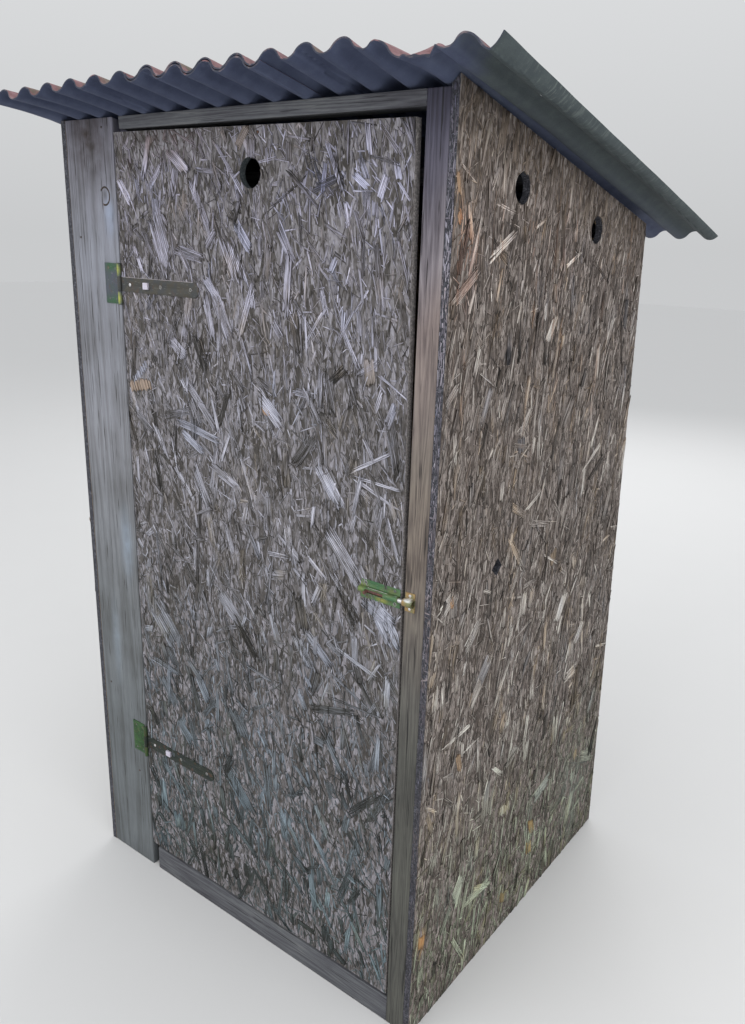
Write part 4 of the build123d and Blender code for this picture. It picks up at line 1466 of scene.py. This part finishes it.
def facing_front(x, y, z, turn=0.0, size=1.0):
    """Places a pattern that was modelled along +Z so that it faces the front."""
    turned = Matrix.Rotation(math.radians(90), 4, "X") @ Matrix.Rotation(math.radians(turn), 4, "Z")
    return Matrix.Translation((x, y, z)) @ turned @ Matrix.Scale(size, 4)


# Screw heads, as shares of the height and the radius
SHOULDER = 0.45
DOME = 0.62
CROSS_LENGTH = 1.05
CROSS_WIDTH = 0.24
RECESS = 0.55


def screw_head(radius, height):
    """Models a domed screw head with a cross cut into it, along +Z."""
    bpy.ops.mesh.primitive_cylinder_add(vertices=20, radius=radius, depth=height, location=(0, 0, height / 2))
    head = bpy.context.object
    settle(head)
    with editing(head):
        bpy.ops.mesh.bisect(plane_co=(0, 0, height * SHOULDER), plane_no=(0, 0, 1))
    for vertex in head.data.vertices:
        if vertex.co.z > height * 0.9:
            vertex.co.xy *= DOME
    for turn in (0, 90):
        bpy.ops.mesh.primitive_cube_add(size=1)
        blade = bpy.context.object
        blade.scale = (radius * CROSS_LENGTH, radius * CROSS_WIDTH, height * RECESS * 2)
        blade.rotation_euler.z = math.radians(turn)
        blade.location.z = height
        settle(blade)
        modify(head, "BOOLEAN", object=blade, operation="DIFFERENCE", solver="EXACT")
        bpy.data.objects.remove(blade)
    smooth(head, 30)
    return head


def torus(radius, thickness, segments):
    """A ring about Z."""
    bpy.ops.mesh.primitive_torus_add(
        major_radius=radius, minor_radius=thickness, major_segments=segments, minor_segments=8
    )
    return bpy.context.object


def rounded_bar(name, size, rounding, place=(0, 0, 0)):
    """A bar of the given size with rounded edges, about a place."""
    bpy.ops.mesh.primitive_cube_add(size=1)
    bar = bpy.context.object
    bar.name = name
    bar.scale = size
    settle(bar)
    modify(bar, "BEVEL", width=rounding, segments=2)
    bar.data.transform(Matrix.Translation(place))
    return bar


# Fixings, measured from the hinge pin, the middle of the straps and the corners of the latch plate
LEAF_SCREWS = (-0.0188, -0.0476)
LEAF_SCREW_RISE = 0.0399
FIRST_SCREW = 0.040
COACH_BOLT = 0.108
LAST_SCREWS = (0.162, 0.276)
PLATE_SCREW_INSET = 0.014
PLATE_SCREW_RISE = 0.016
# Bright rings round the end screws and a bright line on the upper strap are painted highlights
GLINT_RING_SHARE = 0.92
GLINT_RING_WIDTH = 0.45 * MM
HIGHLIGHT_LINE = (0.006, 0.020)
HIGHLIGHT_WIDTH = 0.9 * MM
RIM_WIDTH = 1.2 * MM
SLOT_SPAN = (0.026, 0.082)
SLOT_HALF_HEIGHT = 7.0 * MM
SLEEVE_OUTWARDS = 7.4 * MM


class OUTHOUSE_OT_metalwork(Operator):
    """Rounds the hinges and the bolt, and adds their screws, painted highlights and square bolt heads."""

    bl_idname = "outhouse.metalwork"
    bl_label = "Hinges and bolt"

    def execute(self, context):
        settings = context.scene.outhouse_metal
        self.pin_x = frame["record"]["behaviour"]["joints"][0]["pos_m"][0]
        self.plate_low, self.plate_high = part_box("latch_plate")
        self.keeper_low, self.keeper_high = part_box("latch_keeper")
        self.plate_middle = (self.plate_low + self.plate_high) / 2
        self.keeper_middle = (self.keeper_low + self.keeper_high) / 2
        self.heights = [self.hinge_height(level) for level in ("upper", "lower")]
        self.hinge_face = FRONT - settings.hinge_plate
        self.latch_face = FRONT - settings.latch_plate
        self.dress(settings)
        self.add_screws(settings)
        self.add_glint_rings(settings)
        self.add_squares(settings)
        self.add_slot_rim()
        return {"FINISHED"}

    def hinge_height(self, level):
        low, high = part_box(f"{level}_hinge_strap")
        return (low.z + high.z) / 2

    def dress(self, settings):
        green, yellow = tone(52, 92, 58), tone(166, 172, 78)
        high, low = self.heights
        corners = [
            ((x, FRONT, high + end * rise), (wide, 0.1, 0.024), colour, 1.2, "MIX")
            for x, rise, wide, colour in ((-0.44, 0.047, 0.05, green), (self.pin_x, 0.036, 0.009, yellow))
            for end in (-1, 1)
        ]
        browned = [((self.pin_x, FRONT, low), (0.012, 0.1, 0.08), tone(78, 66, 44), 1.0, "MIX")]
        left, right = self.plate_low.x, self.plate_high.x
        centre, middle = self.plate_middle.x, self.plate_middle.z
        shimmer = [
            ((left + 0.008, FRONT, middle), (0.022, 0.1, 0.03), tone(132, 138, 70), 0.9, "MIX"),
            ((centre + 0.005, FRONT, middle - 0.016), (0.024, 0.1, 0.010), tone(160, 156, 70), 1.0, "MIX"),
            ((right - 0.02, FRONT, middle + 0.012), (0.022, 0.1, 0.012), tone(104, 104, 62), 0.9, "MIX"),
            ((left + 0.053, FRONT - 0.008, middle), (0.030, 0.006, 0.012), tone(70, 42, 38), 1.5, "MIX"),
        ]
        # Painted light on the keeper: a silver-white highlight on its top and a green painted shade on its
        # right side.
        keeper_highlight_x, edge = self.keeper_middle.x, self.keeper_high.x
        worn = [
            ((keeper_highlight_x, FRONT - 0.012, middle + 0.008), (0.016, 0.02, 0.005), tone(222, 224, 222), 1.4, "MIX"),
            ((edge, FRONT - 0.008, middle), (0.010, 0.02, 0.016), tone(66, 80, 56), 1.0, "MIX"),
        ]
        upper_leaf = zinc_finish(
            "upper_leaf_zinc", tone(78, 82, 94), tone(72, 82, 84), rust=0.2, stains=corners
        )
        lower_leaf = zinc_finish(
            "lower_leaf_zinc", tone(40, 70, 38), tone(48, 88, 40), rust=0.2, stains=browned
        )
        upper_strap = zinc_finish("upper_strap_zinc", tone(69, 66, 58), tone(61, 63, 64), rust=0.2)
        lower_strap = zinc_finish("lower_strap_zinc", tone(33, 41, 31), tone(29, 38, 35), rust=0.4)
        latch = zinc_finish("latch_zinc", tone(66, 108, 74), tone(84, 112, 72), rust=0.3, stains=shimmer)
        keeper = zinc_finish("keeper_zinc", tone(158, 130, 86), tone(120, 120, 84), rust=0.4, stains=worn)
        steel = steel_finish("bolt_steel", tone(206, 206, 208), dark_end_from=right - 0.030)
        pieces = (
            ("upper_hinge_leaf", upper_leaf, "cabin", "zinc_steel"),
            ("lower_hinge_leaf", lower_leaf, "cabin", "zinc_steel"),
            ("upper_hinge_strap", upper_strap, "door", "zinc_steel"),
            ("lower_hinge_strap", lower_strap, "door", "zinc_steel"),
            ("upper_hinge_pin", upper_strap, "cabin", "zinc_steel"),
            ("lower_hinge_pin", lower_strap, "cabin", "zinc_steel"),
            ("latch_plate", latch, "door", "zinc_steel"),
            ("latch_keeper", keeper, "cabin", "zinc_steel"),
            ("latch_bolt", steel, "bolt", "bolt_steel"),
        )
        for node, finish, body, slot in pieces:
            obj = dress_copy(node)
            modify(
                obj, "BEVEL", width=settings.edge_rounding, segments=2, limit_method="ANGLE",
                angle_limit=math.radians(35), harden_normals=False,
            )
            smooth(obj, 35)
            attach(obj, finish, body, slot, node)

    def add_screws(self, settings):
        bright = steel_finish("screw_steel", tone(226, 226, 230), rough=0.35, rust=0.2)
        dull = zinc_finish("dull_screw", tone(88, 92, 92), tone(104, 110, 96), rust=0.5, metal=0.3)
        rng = np.random.default_rng(settings.seed)
        ends = (-1, 1)
        leaf = [
            (self.pin_x + run, self.hinge_face, height + end * LEAF_SCREW_RISE)
            for height in self.heights for run in LEAF_SCREWS for end in ends
        ]
        strap, strap_ends = self.strap_places(FIRST_SCREW), self.strap_places(*LAST_SCREWS)
        rises = [self.plate_middle.z + end * PLATE_SCREW_RISE for end in ends]
        columns = (self.plate_low.x + PLATE_SCREW_INSET, self.plate_high.x - PLATE_SCREW_INSET)
        latch = [(x, self.latch_face, rise) for rise in rises for x in columns]
        keeper = [(self.keeper_middle.x, self.latch_face, rise) for rise in rises]
        kinds = (
            ("leaf_screws", "cabin", dull, leaf, 0.7),
            ("strap_screws", "door", bright, strap, 1.0),
            ("strap_end_screws", "door", dull, strap_ends, 0.8),
            ("latch_screws", "door", dull, latch, 0.8),
            ("keeper_screws", "cabin", bright, keeper, 0.8),
        )
        for name, body, finish, spots, share in kinds:
            head = screw_head(settings.screw_radius, settings.screw_height * share)
            places = [facing_front(*spot, turn=rng.uniform(0, 90), size=share) for spot in spots]
            attach(repeated(head, places, name), finish, body, "bolt_steel")

    def strap_places(self, *along):
        """Spots on both straps, at distances from the pin."""
        return [(self.pin_x + run, self.hinge_face, height) for height in self.heights for run in along]

    def add_glint_rings(self, settings):
        """Painted highlights: thin bright rings for the glints around the end screws, and a bright line for
        the glint along the upper strap's edge.
        """
        bright = steel_finish("glint_steel", tone(206, 200, 206), rough=0.45, rust=0.2)
        ring = torus(settings.screw_radius * GLINT_RING_SHARE, GLINT_RING_WIDTH, 24)
        inset = PLATE_SCREW_INSET
        low, high = self.plate_low, self.plate_high
        spots = self.strap_places(*LAST_SCREWS)
        spots.append((low.x + inset, self.latch_face, high.z - inset / 2))
        spots.append((high.x - inset, self.latch_face, low.z + inset / 2))
        rings = repeated(ring, [facing_front(*spot) for spot in spots], "glint_rings")
        smooth(rings, 50)
        attach(rings, bright, "door", "bolt_steel")
        start, end = HIGHLIGHT_LINE
        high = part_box("upper_hinge_strap")[1]
        length = high.x - end - self.pin_x - start
        place = (self.pin_x + start + length / 2, self.hinge_face + 0.2 * MM, high.z - 0.5 * MM)
        line = rounded_bar("highlight_line", (length, HIGHLIGHT_WIDTH, HIGHLIGHT_WIDTH), 0.3 * MM, place)
        attach(line, bright, "door", "bolt_steel")

    def add_squares(self, settings):
        """Square heads of the coach bolts in the straps."""
        pale = steel_finish("square_zinc", tone(226, 222, 236), rough=0.6, rust=0.1)
        side, height = settings.square_side, settings.square_height
        outwards = Vector((0, 0.3 * MM - height / 2, 0))
        places = [Matrix.Translation(Vector(spot) + outwards) for spot in self.strap_places(COACH_BOLT)]
        head = rounded_bar("square_head", (side, height, side * 0.9), 1.2 * MM)
        attach(repeated(head, places, "square_bolt_heads"), pale, "door", "bolt_steel")

    def add_slot_rim(self):
        """Painted highlights: bright lines above and below the slot that the knob runs in, for the glints on
        its edges.
        """
        bright = steel_finish("slot_highlight_steel", tone(214, 216, 212), rough=0.4, rust=0.1)
        low, high = (self.plate_low.x + reach for reach in SLOT_SPAN)
        size = (high - low, RIM_WIDTH, RIM_WIDTH)
        bars = []
        for end in (-1, 1):
            rise = self.plate_middle.z + end * SLOT_HALF_HEIGHT
            place = ((low + high) / 2, self.latch_face - SLEEVE_OUTWARDS, rise)
            bars.append(rounded_bar("slot_side", size, 0.4 * MM, place))
        attach(join(bars, "slot_rim"), bright, "door", "bolt_steel")


# Nails, as X and Z on the front and X and Y on the roof, and the knot ring on the board
FIRST_CREST = -0.591
WAVE = 0.088
BOARD_NAILS = ((-0.452, 2.255), (-0.571, 1.984), (-0.575, 0.62), (-0.455, 0.34))
DOOR_NAIL = (0.107, 2.220)
NAILED_CRESTS = {"left": (0, 3, 6), "right": (9, 12, 15)}
NAIL_ROWS = (FRONT + 0.03, FRONT + 0.52, FRONT + 0.98)
NAIL_TIPS = ((0.7497, -0.4993), (0.744, -0.5662))
HEAD_FLATNESS = 0.35
CAP_SIZE = 2.0
TIP_SIZE = 0.55
ABOVE_ROOF = 3.0
BELOW_ROOF = 2.0
KNOT_PLACE = (-0.4535, FRONT + 0.3 * MM, 2.089)
KNOT_RADIUS = 11 * MM
KNOT_THICKNESS = 1.3 * MM
KNOT_STRETCH = (1.8, 2.0, 1)
KNOT_OPEN_FROM = (-12 * MM, 0, 0)
KNOT_OPEN_TILT = (1, 0, 0.25)


class OUTHOUSE_OT_nails(Operator):
    """Adds the nails in the board, the door and the roof, and the knot ring on the board."""

    bl_idname = "outhouse.nails"
    bl_label = "Nails and knot"

    def execute(self, context):
        settings = context.scene.outhouse_metal
        dark = steel_finish("nail_steel", tone(58, 48, 46), rough=0.7, rust=0.6)
        boards = [facing_front(x, FRONT + 0.2 * MM, z, size=0.75) for x, z in BOARD_NAILS]
        self.add_heads("board_nails", settings, boards, dark, "cabin")
        x, z = DOOR_NAIL
        door = [facing_front(x, FRONT - 1 * MM, z, size=0.8)]
        self.add_heads("door_nail", settings, door, dark, "door")
        self.add_roof_nails(settings)
        self.add_knot_ring(dark)
        return {"FINISHED"}

    def add_heads(self, name, settings, places, finish, body):
        bpy.ops.mesh.primitive_uv_sphere_add(segments=16, ring_count=8, radius=settings.screw_radius)
        head = bpy.context.object
        head.scale = (1, 1, HEAD_FLATNESS)
        settle(head)
        nails = repeated(head, places, name)
        smooth(nails, 60)
        attach(nails, finish, body, "bolt_steel")

    def on_roof(self, side, x, y, start, way, size):
        """Places a nail where a vertical line meets a roof sheet."""
        sheet = bpy.data.objects[f"roof_sheet_{side}_dressed"]
        hit, spot, normal, _ = sheet.ray_cast(Vector((x, y, start)), Vector((0, 0, way)))
        if not hit:
            raise RuntimeError("a roof nail found no sheet")
        tilt = normal.to_track_quat("Z", "Y").to_matrix().to_4x4()
        return Matrix.Translation(spot) @ tilt @ Matrix.Scale(size, 4)

    def add_roof_nails(self, settings):
        """Caps on the crests, found from above, and two bright tips, found from below."""
        cap = steel_finish("cap_steel", tone(88, 66, 66), rough=0.8, rust=0.3)
        caps = [
            self.on_roof(side, FIRST_CREST + WAVE * crest, y, ABOVE_ROOF, -1, CAP_SIZE)
            for side, crests in NAILED_CRESTS.items() for crest in crests for y in NAIL_ROWS
        ]
        self.add_heads("roof_caps", settings, caps, cap, "cabin")
        tips = [self.on_roof("right", x, y, BELOW_ROOF, 1, TIP_SIZE) for x, y in NAIL_TIPS]
        bright = steel_finish("tip_steel", tone(236, 238, 240), rough=0.4, rust=0.0)
        self.add_heads("nail_tips", settings, tips, bright, "cabin")

    def add_knot_ring(self, finish):
        """An oval knot ring in the board, open on one side."""
        ring = torus(KNOT_RADIUS, KNOT_THICKNESS, 40)
        ring.name = "knot_ring"
        ring.rotation_euler.x = math.radians(90)
        ring.scale = KNOT_STRETCH
        settle(ring)
        with editing(ring):
            bpy.ops.mesh.bisect(
                plane_co=KNOT_OPEN_FROM, plane_no=KNOT_OPEN_TILT, clear_inner=True, use_fill=True
            )
        ring.data.transform(Matrix.Translation(KNOT_PLACE))
        smooth(ring, 50)
        attach(ring, finish, "cabin", "grey_board")


class OUTHOUSE_PT_panel(Panel):
    """Lists the pieces in the 3D view's sidebar."""

    bl_label = "Outhouse"
    bl_space_type = "VIEW_3D"
    bl_region_type = "UI"
    bl_category = "Outhouse"

    def draw(self, context):
        for operator in OPERATORS:
            self.layout.operator(operator.bl_idname)


OPERATORS = (
    OUTHOUSE_OT_chipboard,
    OUTHOUSE_OT_timber,
    OUTHOUSE_OT_roof,
    OUTHOUSE_OT_metalwork,
    OUTHOUSE_OT_nails,
    OUTHOUSE_OT_stage,
)
SETTINGS = {
    "outhouse_flakes": FlakeSettings,
    "outhouse_timber": TimberSettings,
    "outhouse_roof": RoofSettings,
    "outhouse_metal": MetalSettings,
    "outhouse_stage": StageSettings,
}


def register():
    for made in (*SETTINGS.values(), *OPERATORS, OUTHOUSE_PT_panel):
        bpy.utils.register_class(made)
    for name, group in SETTINGS.items():
        setattr(bpy.types.Scene, name, PointerProperty(type=group))


def unregister():
    for name in SETTINGS:
        delattr(bpy.types.Scene, name)
    for made in (OUTHOUSE_PT_panel, *OPERATORS, *reversed(SETTINGS.values())):
        bpy.utils.unregister_class(made)


def main():
    """Builds every piece in order."""
    register()
    for operator in OPERATORS:
        group, call = operator.bl_idname.split(".")
        getattr(getattr(bpy.ops, group), call)()


if __name__ == "__main__":
    main()
